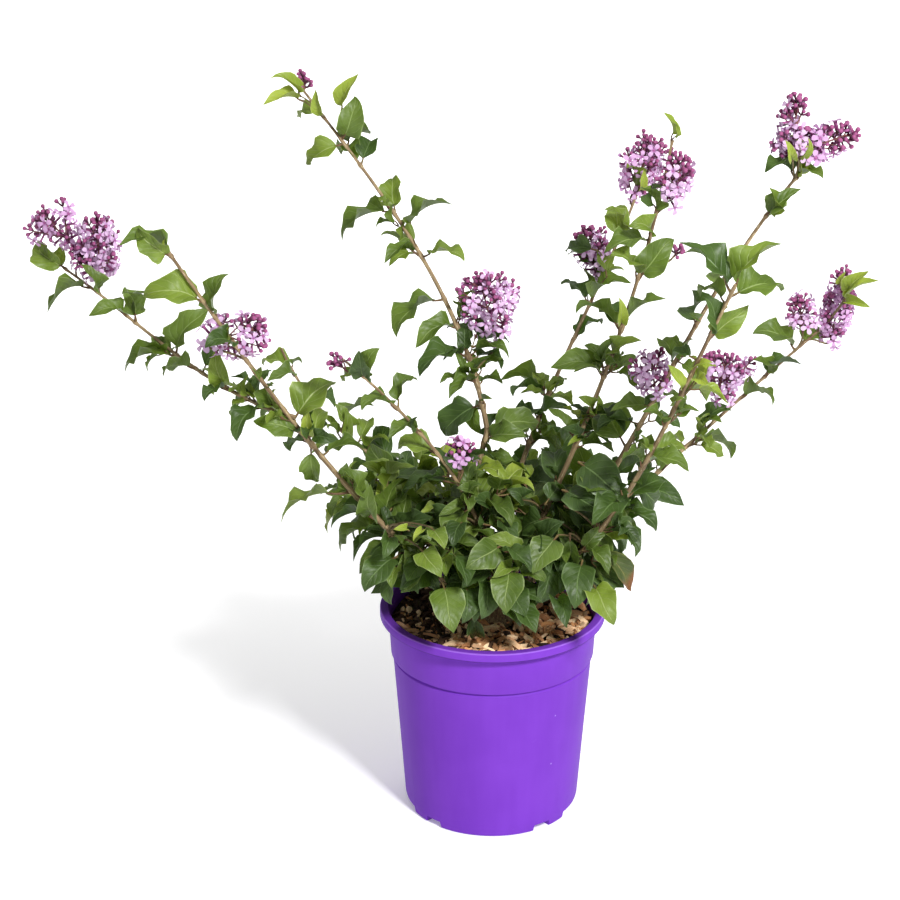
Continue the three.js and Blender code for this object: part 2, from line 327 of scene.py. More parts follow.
def makeStage():
    scene = bpy.context.scene
    lens = bpy.data.cameras.new("camera")
    lens.lens = cameraSetup["lens"]
    scene.camera = newObject("camera", lens)
    scene.camera.location = cameraSetup["place"]
    scene.camera.rotation_euler = (math.radians(90 - cameraSetup["pitchDown"]), 0, 0)
    middle = (cadLow + cadHigh) / 2
    for name, setup in lampSetup.items():
        lamp = bpy.data.lights.new(name, "AREA")
        lamp.size = setup["size"]
        lamp.energy = setup["power"]
        lamp.spread = math.radians(setup["spread"])
        light = newObject(name, lamp)
        light.location = setup["place"]
        if name != "backdrop":
            light.rotation_euler = (middle - light.location).to_track_quat("-Z", "Y").to_euler()
    scene.world = bpy.data.worlds.new("studio")
    scene.world.use_nodes = True
    sky = scene.world.node_tree.nodes["Background"]
    sky.inputs["Color"].default_value = (1, 1, 1, 1)
    sky.inputs["Strength"].default_value = skyStrength
    scene.view_settings.view_transform = "Standard"
    look, maker = newLook("paleFloor")
    paint, half = floorSetup["paint"], floorSetup["half"]
    shade(maker, {"Base Color": (paint, paint, paint, 1), "Roughness": 0.9,
                  "Emission Color": (1, 1, 1, 1), "Emission Strength": floorSetup["glow"]})
    corners = [(-half, -half, 0), (half, -half, 0), (half, half, 0), (-half, half, 0)]
    floor = newObject("floor", meshOf("floor", corners, [(0, 1, 2, 3)]))
    floor.data.materials.append(look)
    floor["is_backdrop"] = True


makeStage()
say("stage is set")


# Middle lines of the canes

caneFit = {"cuts": 15, "power": 4, "dense": 200, "spacing": 3, "thickness": 0.9}


class Stem:
    # a line of points with a thickness, read by the distance along it
    def __init__(self, points, radii):
        self.points = np.array(points, float)
        steps = np.linalg.norm(np.diff(self.points, axis=0), axis=1)
        self.reach = np.concatenate([[0], np.cumsum(steps)])
        self.radii = np.array(radii, float)
        self.length = float(self.reach[-1])

    def at(self, distance):
        return Vector([np.interp(distance, self.reach, self.points[:, axis]) for axis in range(3)])

    def along(self, distance):
        step = 2 * mm
        ahead = min(distance + step, self.length)
        return (self.at(ahead) - self.at(ahead - 2 * step)).normalized()

    def radius(self, distance):
        return float(np.interp(distance, self.reach, self.radii))


def bent(steps, *corners):
    # points along a smooth line from the first corner to the last, drawn towards those between
    points = []
    for step in range(steps + 1):
        line = corners
        while len(line) > 1:
            line = [first.lerp(second, step / steps) for first, second in zip(line, line[1:])]
        points.append(line[0])
    return points


def crossing(corners, heading, level):
    # where a plane across the heading cuts the triangles: middle and area of the cut
    height = corners @ heading - level
    ends = []
    for first, second in ((0, 1), (1, 2), (2, 0)):
        before, after = height[:, first], height[:, second]
        cut = (before < 0) != (after < 0)
        share = (before / np.where(cut, before - after, 1))[:, None]
        ends.append((cut, corners[:, first] + share * (corners[:, second] - corners[:, first])))
    first = np.where(ends[0][0][:, None], ends[0][1], ends[1][1])
    second = np.where(ends[2][0][:, None], ends[2][1], ends[1][1])
    crossed = sum(cut.astype(int) for cut, point in ends) == 2
    first, second = first[crossed], second[crossed]
    weight = np.linalg.norm(second - first, axis=1)
    middle = ((first + second) / 2 * weight[:, None]).sum(0) / weight.sum()
    area = np.linalg.norm(np.cross(first - middle, second - middle), axis=1).sum() / 2
    return middle, area


def caneLine(node):
    # a smooth line through the middles of cuts across a CAD cane, from its foot to its tip
    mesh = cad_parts[node].data
    corners = np.array([[mesh.vertices[v].co for v in face.vertices] for face in mesh.polygons])
    points = corners.reshape(-1, 3)
    heading = np.linalg.svd(points - points.mean(0), full_matrices=False)[2][0]
    if heading[2] < 0:
        heading = -heading
    low, high = (points @ heading).min(), (points @ heading).max()
    levels = low + (high - low) * np.linspace(0.05, 0.95, caneFit["cuts"])
    cuts = [crossing(corners, heading, level) for level in levels]
    middles, areas = [np.array(part) for part in zip(*cuts)]
    shares = (levels - low) / (high - low)
    dense = np.linspace(0, 1, caneFit["dense"])
    fits = [np.polyfit(shares, middles[:, axis], caneFit["power"]) for axis in range(3)]
    line = np.stack([np.polyval(fit, dense) for fit in fits], 1)
    slopes = np.gradient(line, axis=0)
    slopes /= np.linalg.norm(slopes, axis=1)[:, None]
    square = np.interp(shares, dense, slopes @ heading)
    radii = caneFit["thickness"] * np.sqrt(areas * square / math.pi)
    inner = slice(2, -2)
    whole = Stem(line, np.polyval(np.polyfit(shares[inner], radii[inner], 1), dense))
    count = max(4, round(whole.length / (caneFit["spacing"] * mm)))
    stations = np.linspace(0, whole.length, count)
    return Stem([whole.at(s) for s in stations], [whole.radius(s) for s in stations])


canes = {name: caneLine(name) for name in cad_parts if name.startswith(("cane_", "branch_", "shoot_"))}
say(f"{len(canes)} canes read from the frame")


# Stems with relief, swept along their middle lines

barkStretch = 0.35
stemShape = {"Sides": 12, "Relief": 0.16, "Relief Scale": 260}
twigShape = {"Sides": 7, "Relief": 0.1, "Relief Scale": 420}
thinShape = {"Sides": 5, "Relief": 0.05, "Relief Scale": 500}


def makeStemTree():
    tree, maker, given = newTree("barkOnLine", {"Sides": "Int", "Relief": "Float", "Relief Scale": "Float"})
    ring = maker.node("GeometryNodeCurvePrimitiveCircle", {"Resolution": given["Sides"], "Radius": 1.0})
    ring = maker.stored(ring, "ringPlace", maker.node("GeometryNodeInputPosition", {}), "FLOAT_VECTOR")
    thick = maker.node("GeometryNodeInputRadius", {})
    line = maker.stored(given["Geometry"], "alongStem", maker.node("GeometryNodeSplineParameter", {}, 1))
    line = maker.stored(line, "stemRadius", thick)
    tube = maker.node("GeometryNodeCurveToMesh",
                      {"Curve": line, "Profile Curve": ring, "Scale": thick, "Fill Caps": True})
    radius = maker.named("stemRadius")
    around = maker.vector("SCALE", {0: maker.named("ringPlace", "FLOAT_VECTOR"), "Scale": radius})
    lengthwise = maker.node("ShaderNodeCombineXYZ", {"Z": maker.named("alongStem") * barkStretch})
    unrolled = maker.vector("ADD", {0: around, 1: lengthwise})
    relief = (maker.noise(unrolled, given["Relief Scale"]) - 0.5) * given["Relief"] * radius
    rise = maker.vector("SCALE", {0: maker.node("GeometryNodeInputNormal", {}), "Scale": relief})
    rough = maker.node("GeometryNodeSetPosition", {"Geometry": tube, "Offset": rise})
    endTree(maker, maker.stored(rough, "barkPlace", unrolled, "FLOAT_VECTOR"), given)
    return tree


stemTree = makeStemTree()


def stemPiece(name, stems, shape, look):
    curve = bpy.data.curves.new(name, "CURVE")
    curve.dimensions = "3D"
    for stem in stems:
        line = curve.splines.new("POLY")
        line.points.add(len(stem.points) - 1)
        line.points.foreach_set("co", np.column_stack([stem.points, np.ones(len(stem.points))]).ravel())
        line.points.foreach_set("radius", stem.radii)
    return grown(name, curve, stemTree, shape | {"Look": look})


# the pale part, the deep part and the specks of each bark
barkColours = {
    "cane": (tint(160, 138, 102), tint(98, 76, 54), tint(196, 180, 144)),
    "twig": (tint(126, 112, 72), tint(80, 62, 44), tint(160, 142, 104)),
    "petiole": (tint(118, 104, 58), tint(86, 52, 44), tint(136, 120, 76)),
    "stalk": (tint(132, 88, 78), tint(94, 46, 62), tint(140, 110, 84)),
}


def barkLook(name):
    look, maker = newLook(name + "Bark")
    pale, deep, speck = barkColours[name]
    place = maker.node("ShaderNodeAttribute", {}, 1, attribute_name="barkPlace")
    streaks = maker.noise(maker.stretch(place, (420, 420, 60)), 1.0, 4.0, 0.6)
    patches = maker.noise(place, 45, 3.0)
    dot = maker.dots(maker.stretch(place, (1, 1, 0.6)), 420, 0.16, 0.26)
    base = maker.blend(maker.fade(streaks * 0.55 + patches * 0.45, 0.36, 0.64), deep, pale)
    base = maker.blend(dot * 0.6, base, speck)
    height = streaks * 0.6 + dot * 0.5 + patches * 0.3
    shade(maker, {"Base Color": base, "Roughness": 0.55 + streaks * 0.25, "Specular IOR Level": 0.35,
                  "Normal": maker.bump(height, 0.35, 0.5 * mm)})
    return look


# Leaves: ovate, pointed, folded along the midrib, with the edge waved and the tip curled back

leafShape = {
    "alongShares": (0, 0.03, 0.08, 0.15, 0.24, 0.34, 0.45, 0.56, 0.67, 0.77, 0.86, 0.94, 1.0),
    "widths": (0.05, 0.33, 0.62, 0.85, 0.98, 1.0, 0.95, 0.84, 0.68, 0.50, 0.31, 0.13, 0.01),
    "across": (-1, -0.55, 0, 0.55, 1),
    "bulge": 0.10, "scallop": 0.025, "hookFrom": 0.72, "waves": 13, "sway": 0.03,
}
# breadth over length, fold in degrees, bend of the blade in degrees from foot to tip, further bend of
# the tip, wave, twist
leafKinds = (
    (0.64, 32, (34, -48), -26, 0.20, 18),
    (0.62, 40, (40, -60), 26, 0.22, -24),
    (0.70, 26, (24, -42), -20, 0.20, 28),
    (0.62, 34, (20, -56), 30, 0.22, -30),
    (0.66, 30, (40, -34), -40, 0.20, 22),
    (0.58, 42, (36, -70), 24, 0.20, 30),
    (0.66, 24, (16, -38), -30, 0.20, -20),
    (0.60, 46, (36, -54), -24, 0.24, -34),
    (0.54, 48, (34, -34), 30, 0.09, 16),
    (0.50, 54, (42, -12), -40, 0.07, -22),
    (0.78, 17, (10, -26), -14, 0.10, 8),
    (0.82, 14, (16, -22), 12, 0.09, -10),
    (0.72, 23, (20, -34), -18, 0.11, 14),
)
youngKinds = (8, 9)
olderKinds = (0, 1, 2, 3, 4, 5, 6, 7)
broadKinds = (10, 11, 12)


def leafBlade(kind):
    breadth, fold, (lift, sag), hook, wave, twist = leafKinds[kind]
    shares, sides, hookFrom = leafShape["alongShares"], leafShape["across"], leafShape["hookFrom"]
    middle = Vector((0, 0, 0))
    points, uvs = [], []
    for share, before, width in zip(shares, (0,) + shares, leafShape["widths"]):
        bend = lift + (sag - lift) * share ** 1.2 + hook * max(0.0, share - hookFrom) / (1 - hookFrom)
        pitch = math.radians(bend)
        middle = middle + Vector((0, math.cos(pitch), math.sin(pitch))) * (share - before)
        over = Vector((0, -math.sin(pitch), math.cos(pitch)))
        half = breadth / 2 * width
        foldHere = math.radians(fold * (1.1 - 0.45 * share))
        turn = math.radians(twist * share)
        swell = math.sin(math.pi * min(1, 0.12 + share))
        sway = leafShape["sway"] * math.sin(share * 7 + kind) * share
        for side in sides:
            phase = share * leafShape["waves"] + kind * 1.9 + (2.4 if side > 0 else 0)
            ripple = wave * math.sin(phase) * abs(side) ** 1.5 * swell
            bulge = leafShape["bulge"] * math.sin(math.pi * abs(side))
            flat = side * half * (1 + leafShape["scallop"] * math.cos(phase)) * math.cos(foldHere)
            rise = abs(side) * half * math.sin(foldHere) + (2 * ripple + bulge) * half
            x = flat * math.cos(turn) - rise * math.sin(turn)
            z = flat * math.sin(turn) + rise * math.cos(turn)
            points.append(middle + Vector((x + sway, 0, 0)) + over * z)
            uvs.append((share, 0.5 + side / 2))
    return meshOf(f"leaf{kind}", points, quads(len(shares), len(sides), False), uvs)


# blade, its paler patches, its veins and the light through it
leafTints = {
    "dark": (tint(49, 69, 27), tint(65, 87, 36), tint(118, 142, 86), tint(96, 134, 34)),
    "mid": (tint(70, 91, 31), tint(90, 111, 41), tint(150, 168, 102), tint(132, 164, 42)),
    "light": (tint(91, 113, 37), tint(111, 131, 48), tint(172, 186, 120), tint(156, 182, 50)),
    "young": (tint(124, 144, 46), tint(148, 164, 60), tint(194, 204, 130), tint(184, 204, 62)),
    "dry": (tint(62, 80, 36), tint(86, 98, 46), tint(150, 142, 84), tint(130, 130, 40)),
}
scorchTint = tint(122, 74, 38)
veins = {"count": 6.5, "sweep": 2.4, "share": 0.2, "midrib": 0.038}


def leafLook(name):
    look, maker = newLook(name + "Leaf")
    blade, paler, veinTint, glow = leafTints[name]
    spot, place = maker.shapeMap(), maker.objectPlace()
    along = maker.part(spot, 0)
    side = abs(maker.part(spot, 1) - 0.5) * 2
    midrib = 1 - maker.fade(side, veins["midrib"] * 0.4, veins["midrib"] * 1.6)
    slant = along * veins["count"] - (side ** 0.8) * veins["sweep"]
    ripple = abs(maker.maths("FRACT", slant) - 0.5) * 2
    vein = maker.fade(ripple, 0.80, 0.98) * (1 - maker.fade(side, 0.7, 1.0))
    clouds = maker.noise(place, 26)
    base = maker.blend(maker.fade(clouds, 0.35, 0.65), blade, paler)
    base = maker.blend(vein * veins["share"] + maker.fade(side, 0.9, 1.0) * 0.65, base, veinTint)
    base = maker.blend(midrib * 0.7, base, veinTint)
    if name == "dry":
        scorch = maker.fade(along + side * 0.3 + clouds * 0.4, 0.85, 1.15)
        base = maker.blend(scorch, base, scorchTint)
    pucker, grain = maker.noise(place, 140, 1.0), maker.noise(place, 900)
    height = (1 - ripple) * 0.3 + pucker * 0.8 + grain * 0.12 - vein * 0.4 - midrib * 0.9
    shade(maker, {"Base Color": base, "Roughness": 0.38 + clouds * 0.18, "Specular IOR Level": 0.45,
                  "Normal": maker.bump(height, 0.55, 1.3 * mm)}, glow, 0.18)
    return look


leafSprays = {name: [] for name in leafTints}
petioles = []


def addLeaf(spray, foot, heading, top, size, kind, stalk):
    # heading is where the leaf points, top is the side its upper face looks to, stalk is its petiole
    right = heading.cross(top)
    if right.length < parallel:
        right = heading.orthogonal()
    right.normalize()
    over = right.cross(heading)
    turn = Matrix((right, heading, over)).transposed().to_quaternion()
    lift = math.radians(leafKinds[kind][2][0])
    start = heading * math.cos(lift) + over * math.sin(lift)
    bladeFoot = foot + start * stalk
    leafSprays[spray].append((bladeFoot, turn, size, kind))
    points = bent(4, foot, foot + start * stalk * 0.5 - over * stalk * 0.12, bladeFoot + start * size * 0.04)
    thick = math.sqrt(size / (50 * mm)) * mm
    petioles.append(Stem(points, np.linspace(1.5, 1.0, 5) * thick))


sizeSpread = 0.06
# below this length a cross product gives no safe direction
parallel = 0.05
# how a leaf stands on its stem: depth of its foot as a share of the stem's radius, scatter to the sides,
# scatter up and down, roll in degrees, length of petiole as a share of the blade
leafStand = {"foot": 0.8, "sideways": 0.12, "upright": 0.14, "roll": 22, "petiole": (0.17, 0.28)}


def makeSprayTree():
    tree, maker, given = newTree("shapesOnPoints", {
        "Shapes": "Collection", "Size Spread": "Float", "Seed": "Int"})
    spread = maker.drawn("FLOAT", 1 - given["Size Spread"], 1 + given["Size Spread"], given["Seed"])
    placed = maker.shapesOn(given["Geometry"], given["Shapes"], maker.named("kind", "INT"),
                            maker.named("turn", "QUATERNION"), maker.named("size") * spread)
    endTree(maker, placed, given)
    return tree


sprayTree = makeSprayTree()


def sprayPiece(name, placed, library, look, seed=1):
    # one joined mesh of shapes from the library, each at its own place, turn and size
    feet, turns, sizes, kinds = zip(*placed)
    mesh = meshOf(name + "Points", feet, [])
    stored = (("turn", "QUATERNION", turns), ("size", "FLOAT", sizes), ("kind", "INT", kinds))
    for label, sort, values in stored:
        mesh.attributes.new(label, sort, "POINT").data.foreach_set("value", np.array(values).ravel())
    values = {"Shapes": library, "Size Spread": sizeSpread, "Seed": seed, "Look": look}
    return grown(name, mesh, sprayTree, values)


def across(heading, turn):
    # a direction square to the heading, at an angle round it from the level one
    level = heading.cross(up)
    if level.length < parallel:
        level = Vector((1, 0, 0))
    level.normalize()
    return Quaternion(heading, turn) @ level


def leafAt(spray, stem, distance, turn, size, kind, rng, lean, droop):
    along = stem.along(distance)
    outward = across(along, turn)
    foot = stem.at(distance) + outward * stem.radius(distance) * leafStand["foot"]
    side, rise = leafStand["sideways"], leafStand["upright"]
    heading = (outward + along * lean).normalized()
    heading += Vector((rng.gauss(0, side), rng.gauss(0, side), rng.gauss(-droop, rise)))
    heading.normalize()
    top = up + along * 0.4 + Vector((0.06, -0.1, 0))
    top = Quaternion(heading, math.radians(rng.gauss(0, leafStand["roll"]))) @ top
    addLeaf(spray, foot, heading, top, size, kind, size * rng.uniform(*leafStand["petiole"]))


# Leaves in their places along each cane: the share of its length, the way the leaf points in the front
# view in degrees from the right, how long it looks there in millimetres, and the letter of its tint, which
# follows how the leaf looks, so a darker letter partly paints the shade the leaf lies in
frontUp, toFront = Vector((0, 0.371, 0.929)), Vector((0, -0.929, 0.371))
tintLetters = {"d": "dark", "m": "mid", "l": "light", "y": "young", "b": "dry"}
placedLeaves = {
    "branch_far_left": (
        (1, 175, 40, "l"), (1, 140, 54, "l"), (.88, -145, 59, "m"), (.85, 115, 36, "m"),
        (.70, 176, 44, "m"), (.66, 75, 42, "m"), (.66, 116, 35, "m"), (.46, -172, 67, "m"),
        (.47, 58, 59, "m"), (.38, -178, 36, "m"), (.35, 84, 31, "d"), (.25, 104, 44, "l"),
        (.24, -155, 26, "d"), (.12, 153, 32, "l"), (.10, -127, 48, "d"), (.05, 99, 31, "m")),
    "cane_left": (
        (.99, 140, 49, "l"), (.99, 162, 54, "m"), (1, 75, 15, "y"), (.88, 173, 70, "l"),
        (.84, 73, 54, "m"), (.77, -171, 34, "d"), (.78, 85, 19, "y"), (.73, 162, 24, "l"),
        (.70, -60, 18, "m"), (.60, 92, 20, "l"), (.57, 47, 71, "l"), (.54, 163, 50, "m"),
        (.51, -172, 29, "d"), (.50, -86, 39, "m"), (.52, 92, 35, "y"), (.50, 76, 40, "l"),
        (.47, 18, 45, "m"), (.37, -162, 91, "l"), (.35, 111, 37, "m"), (.29, -172, 59, "d"),
        (.30, 97, 38, "m")),
    "cane_back_left": (
        (.92, 165, 44, "l"), (.93, -9, 17, "m"), (.90, -163, 37, "m"), (.81, -29, 38, "d"),
        (.67, 43, 56, "m"), (.66, 109, 37, "l"), (.60, 68, 35, "l"), (.56, 13, 33, "l"),
        (.70, -157, 22, "d")),
    "cane_slender": (
        (.92, -165, 22, "l"), (.91, 96, 34, "d"), (.91, 68, 31, "m"), (.76, -173, 44, "m"),
        (.76, 59, 44, "m"), (.65, -177, 38, "m"), (.65, 74, 21, "d"), (.56, 178, 45, "l")),
    "branch_tall_left": (
        (.92, 170, 31, "l"), (.91, 104, 33, "y"),
        (.84, 70, 50, "m"), (.83, -153, 54, "l"), (.82, 50, 35, "m"),
        (.76, 142, 37, "m"), (.76, 66, 37, "d"), (.62, -158, 70, "m"), (.61, 91, 45, "l"),
        (.56, 33, 63, "m"), (.49, -169, 46, "m"), (.48, 3, 49, "l"), (.51, 106, 22, "l"),
        (.36, -147, 73, "m"), (.28, -158, 56, "m"), (.29, 102, 23, "m"), (.20, -161, 63, "d"),
        (.20, -2, 51, "m"), (.19, -14, 41, "d"), (.13, -144, 41, "m"), (.12, 15, 30, "m"),
        (.06, -97, 35, "m"), (.07, -1, 18, "m"), (.07, -142, 61, "d")),
    "cane_centre": (
        (.93, -1, 53, "m"), (.97, 16, 65, "m"), (.90, 39, 49, "d")),
    "cane_back_right": (
        (.95, 86, 29, "y"), (.95, 126, 34, "l"), (.84, 120, 41, "l"), (.83, 90, 50, "l"),
        (.73, 137, 58, "d"), (.73, 96, 28, "l"), (.67, 142, 46, "d"), (.67, 26, 56, "m"),
        (.58, 26, 46, "d"), (.44, 159, 62, "m"), (.43, 4, 34, "l"), (.39, 16, 39, "d"),
        (.39, 169, 30, "d"), (.33, 166, 46, "m"), (.33, -19, 40, "m"), (.44, -174, 47, "d")),
    "cane_centre_right": (
        (.85, 114, 35, "m"), (.86, 82, 26, "d"), (.81, 169, 33, "l"), (.80, -169, 51, "m"),
        (.72, 52, 59, "m"), (.72, 136, 39, "l"), (.62, 42, 55, "m"), (.62, 99, 38, "y"),
        (.61, 119, 42, "d"), (.61, 164, 62, "m"), (.56, 27, 34, "l"), (.51, 166, 63, "m"),
        (.51, 31, 41, "m"), (.43, 82, 23, "l"), (.42, -25, 48, "d"), (.42, 117, 26, "l"),
        (.35, 1, 44, "m"), (.36, 128, 25, "d"), (.37, -145, 23, "y"), (1, 125, 30, "y"),
        (1, 100, 20, "y")),
    "cane_tall_right": (
        (.94, 171, 39, "d"), (.94, 8, 24, "m"), (.94, 108, 53, "y"), (.95, 104, 49, "l"),
        (.86, 97, 29, "l"), (.86, 40, 45, "m"), (.72, 140, 58, "m"), (.71, 44, 37, "m"),
        (.64, 160, 19, "m"), (.63, 57, 34, "d"), (.46, -177, 42, "m"), (.45, 78, 17, "d"),
        (.42, 179, 47, "d"), (.55, 114, 31, "m")),
    "cane_front_right": (
        (.98, 132, 73, "d"), (.99, 46, 73, "l"), (.97, 13, 62, "m"), (.95, 154, 27, "m"),
        (.86, 42, 50, "l"), (.87, 97, 38, "d"), (.80, 180, 26, "d"), (.76, 15, 28, "y"),
        (.71, 126, 38, "y"), (.70, 0, 36, "l"), (.67, 28, 18, "l"), (.66, -39, 15, "d"),
        (.62, 142, 29, "m"), (.53, 8, 46, "l"), (.50, 158, 27, "m"), (.52, -15, 47, "m")),
    "cane_far_right": (
        (.91, 155, 61, "m"), (.93, 51, 42, "m"), (.81, 141, 28, "m"), (.81, 23, 48, "d"),
        (.73, -21, 36, "m"), (.61, 43, 46, "d"), (.60, 26, 27, "m"), (.56, -20, 63, "m"),
        (.55, 174, 25, "l"), (.47, -6, 33, "m"), (.46, 147, 24, "m"), (.40, -19, 57, "d")),
}
# Pairs of leaves below those, as shares of the cane, with the turn of the first pair in degrees
lowPairs = {
    "cane_left": ((0.15, 0.22), 0), "cane_back_left": ((0.20, 0.29, 0.38, 0.47), 10),
    "cane_slender": ((0.24, 0.34, 0.44), 60), "cane_centre": ((0.35, 0.52, 0.70), 30),
    "cane_back_right": ((0.16, 0.24), 90), "cane_centre_right": ((0.16, 0.25), 90),
    "cane_tall_right": ((0.20, 0.29, 0.37), 80), "cane_front_right": ((0.20, 0.30, 0.40), 20),
    "cane_far_right": ((0.20, 0.30), 50),
    "shoot_low_back_right": ((0.40, 0.52, 0.64, 0.76, 0.88, 0.98), 20),
    "shoot_low_left": ((0.40, 0.55, 0.70, 0.85, 0.98), 50),
}
lowSize = 56
# least and most length of a blade of each tint, and of a petiole
bladeLimits = {"d": (46, 65), "m": (48, 66), "l": (45, 67), "y": (22, 50), "b": (46, 60)}
petioleLimits = (8, 25)
# for leaves with a place: the seen length up to which their tint's least length shrinks and by how much at
# most, the seen share of a folded blade, the flattest and a young leaf's least lean, the share that lean
# to the front, and the blade length below which a leaf is of a young kind
placing = {"short": 34, "shrink": 0.55, "fold": 0.95, "flattest": 0.97, "youngLean": 0.5, "forwards": 0.62,
           "small": 30}
axilShape = {"chance": 0.6, "length": (8, 22), "longFrom": 14, "size": (20, 34),
             "kinds": youngKinds + (0, 3, 6)}
crown = {"foot": 0.4, "height": 0.5}
axilUntil = 0.75
axilShoots = []


def pickTint(rng, height, youth):
    # leaves low in the bush are dark, those at the ends of shoots light: young tips are truly paler, and the
    # darker tint low down is partly painted shade
    lightness = 0.75 * youth + 0.32 * height + rng.gauss(0, 0.17)
    for limit, name in ((0.30, "dark"), (0.66, "mid"), (1.02, "light")):
        if lightness < limit:
            return name
    return "young"


def growAxil(stem, distance, outward, tintName, rng):
    # a short side shoot in the angle of a leaf, with one or two pairs of small leaves
    foot = stem.at(distance) + outward * stem.radius(distance) * 0.5
    heading = (stem.along(distance) + outward * rng.uniform(0.6, 1.0) + up * 0.2).normalized()
    length = rng.uniform(*axilShape["length"]) * mm
    points = [foot + heading * length * step / 4 + up * 0.12 * length * (step / 4) ** 2 for step in range(5)]
    shoot = Stem(points, np.linspace(1.0, 0.65, 5) * mm)
    axilShoots.append(shoot)
    small = rng.uniform(*axilShape["size"]) * mm
    spin = rng.uniform(0, math.pi)
    kinds = axilShape["kinds"]
    for flip in (0, math.pi):
        leafAt(tintName, shoot, length * 0.98, spin + flip, small, rng.choice(kinds), rng, 0.9, 0.05)
        if length > axilShape["longFrom"] * mm:
            side = spin + math.pi / 2 + flip
            leafAt(tintName, shoot, length * 0.5, side, small * 1.2, rng.choice(kinds), rng, 0.7, 0.15)


def placeLeaf(stem, share, degrees, seen, letter, rng, kinds=olderKinds, bladeShare=1.0, roll=26,
              facing=-0.15):
    # a leaf with a stated heading in the front view, leaning to the front or back by chance
    distance = min(stem.length * share, stem.length - 0.5 * mm)
    least, most = bladeLimits[letter]
    least *= min(1, max(placing["shrink"], seen / placing["short"])) * rng.uniform(0.9, 1.1)
    size = min(most, max(bladeShare * seen, least))
    folded = placing["fold"] * size
    stalk = min(petioleLimits[1], max(petioleLimits[0], seen - folded))
    lean = math.acos(min(placing["flattest"], seen / (folded + stalk)))
    if letter == "y":
        lean = max(lean, placing["youngLean"])
    elif rng.random() > placing["forwards"]:
        lean = -lean
    turn = math.radians(degrees)
    level = Vector((1, 0, 0)) * math.cos(turn) + frontUp * math.sin(turn)
    heading = (level * math.cos(lean) + toFront * math.sin(lean)).normalized()
    steep = abs(heading.dot(up))
    along = stem.along(distance)
    top = up * (1 - 0.7 * steep) + toFront * (0.3 + 0.35 * steep + facing) + along * 0.25
    top = Quaternion(heading, math.radians(rng.gauss(0, roll))) @ top
    outward = heading - along * heading.dot(along)
    outward = outward.normalized() if outward.length > parallel else across(along, 0)
    foot = stem.at(distance) + outward * stem.radius(distance) * leafStand["foot"]
    kind = rng.choice(youngKinds if letter in "yb" or size < placing["small"] else kinds)
    addLeaf(tintLetters[letter], foot, heading, top, size * mm, kind, stalk * mm)
    return distance, outward


def heightIn(stem, distance):
    return (stem.at(distance).z - crown["foot"]) / crown["height"]


def growPair(stem, distance, turn, shades, size, spread, kinds, lean, droop, rng, axils=False):
    # two opposite leaves; shades are the height and youth that their tints go by
    for flip in (0, math.pi):
        tintName = pickTint(rng, *shades)
        own = size * rng.uniform(*spread)
        leafAt(tintName, stem, distance, turn + flip, own, rng.choice(kinds), rng, lean, droop)
        if axils and rng.random() < axilShape["chance"]:
            growAxil(stem, distance + 2 * mm, across(stem.along(distance), turn + flip), tintName, rng)


def dressCane(name, rng):
    stem = canes[name]
    nodes = []
    for share, degrees, seen, letter in placedLeaves.get(name, ()):
        distance, outward = placeLeaf(stem, share, degrees, seen, letter, rng)
        nodes.append(distance)
        if share < axilUntil and rng.random() < axilShape["chance"] * (1 - share):
            growAxil(stem, distance, -outward, tintLetters[letter], rng)
    shares, first = lowPairs.get(name, ((), 0))
    for pair, share in enumerate(shares):
        distance = stem.length * share
        nodes.append(distance)
        turn = math.radians(first + 90 * pair + rng.gauss(0, 12))
        growPair(stem, distance, turn, (heightIn(stem, distance), 0.1), lowSize * mm, (0.84, 1.14),
                 olderKinds + broadKinds, 0.5, 0.24, rng, axils=True)
    return nodes


rng = random.Random(seeds["canes"])
swellings = {name: dressCane(name, rng) for name in canes if name in placedLeaves or name in lowPairs}
say(f"{sum(len(found) for found in swellings.values())} leaves and pairs on the canes")


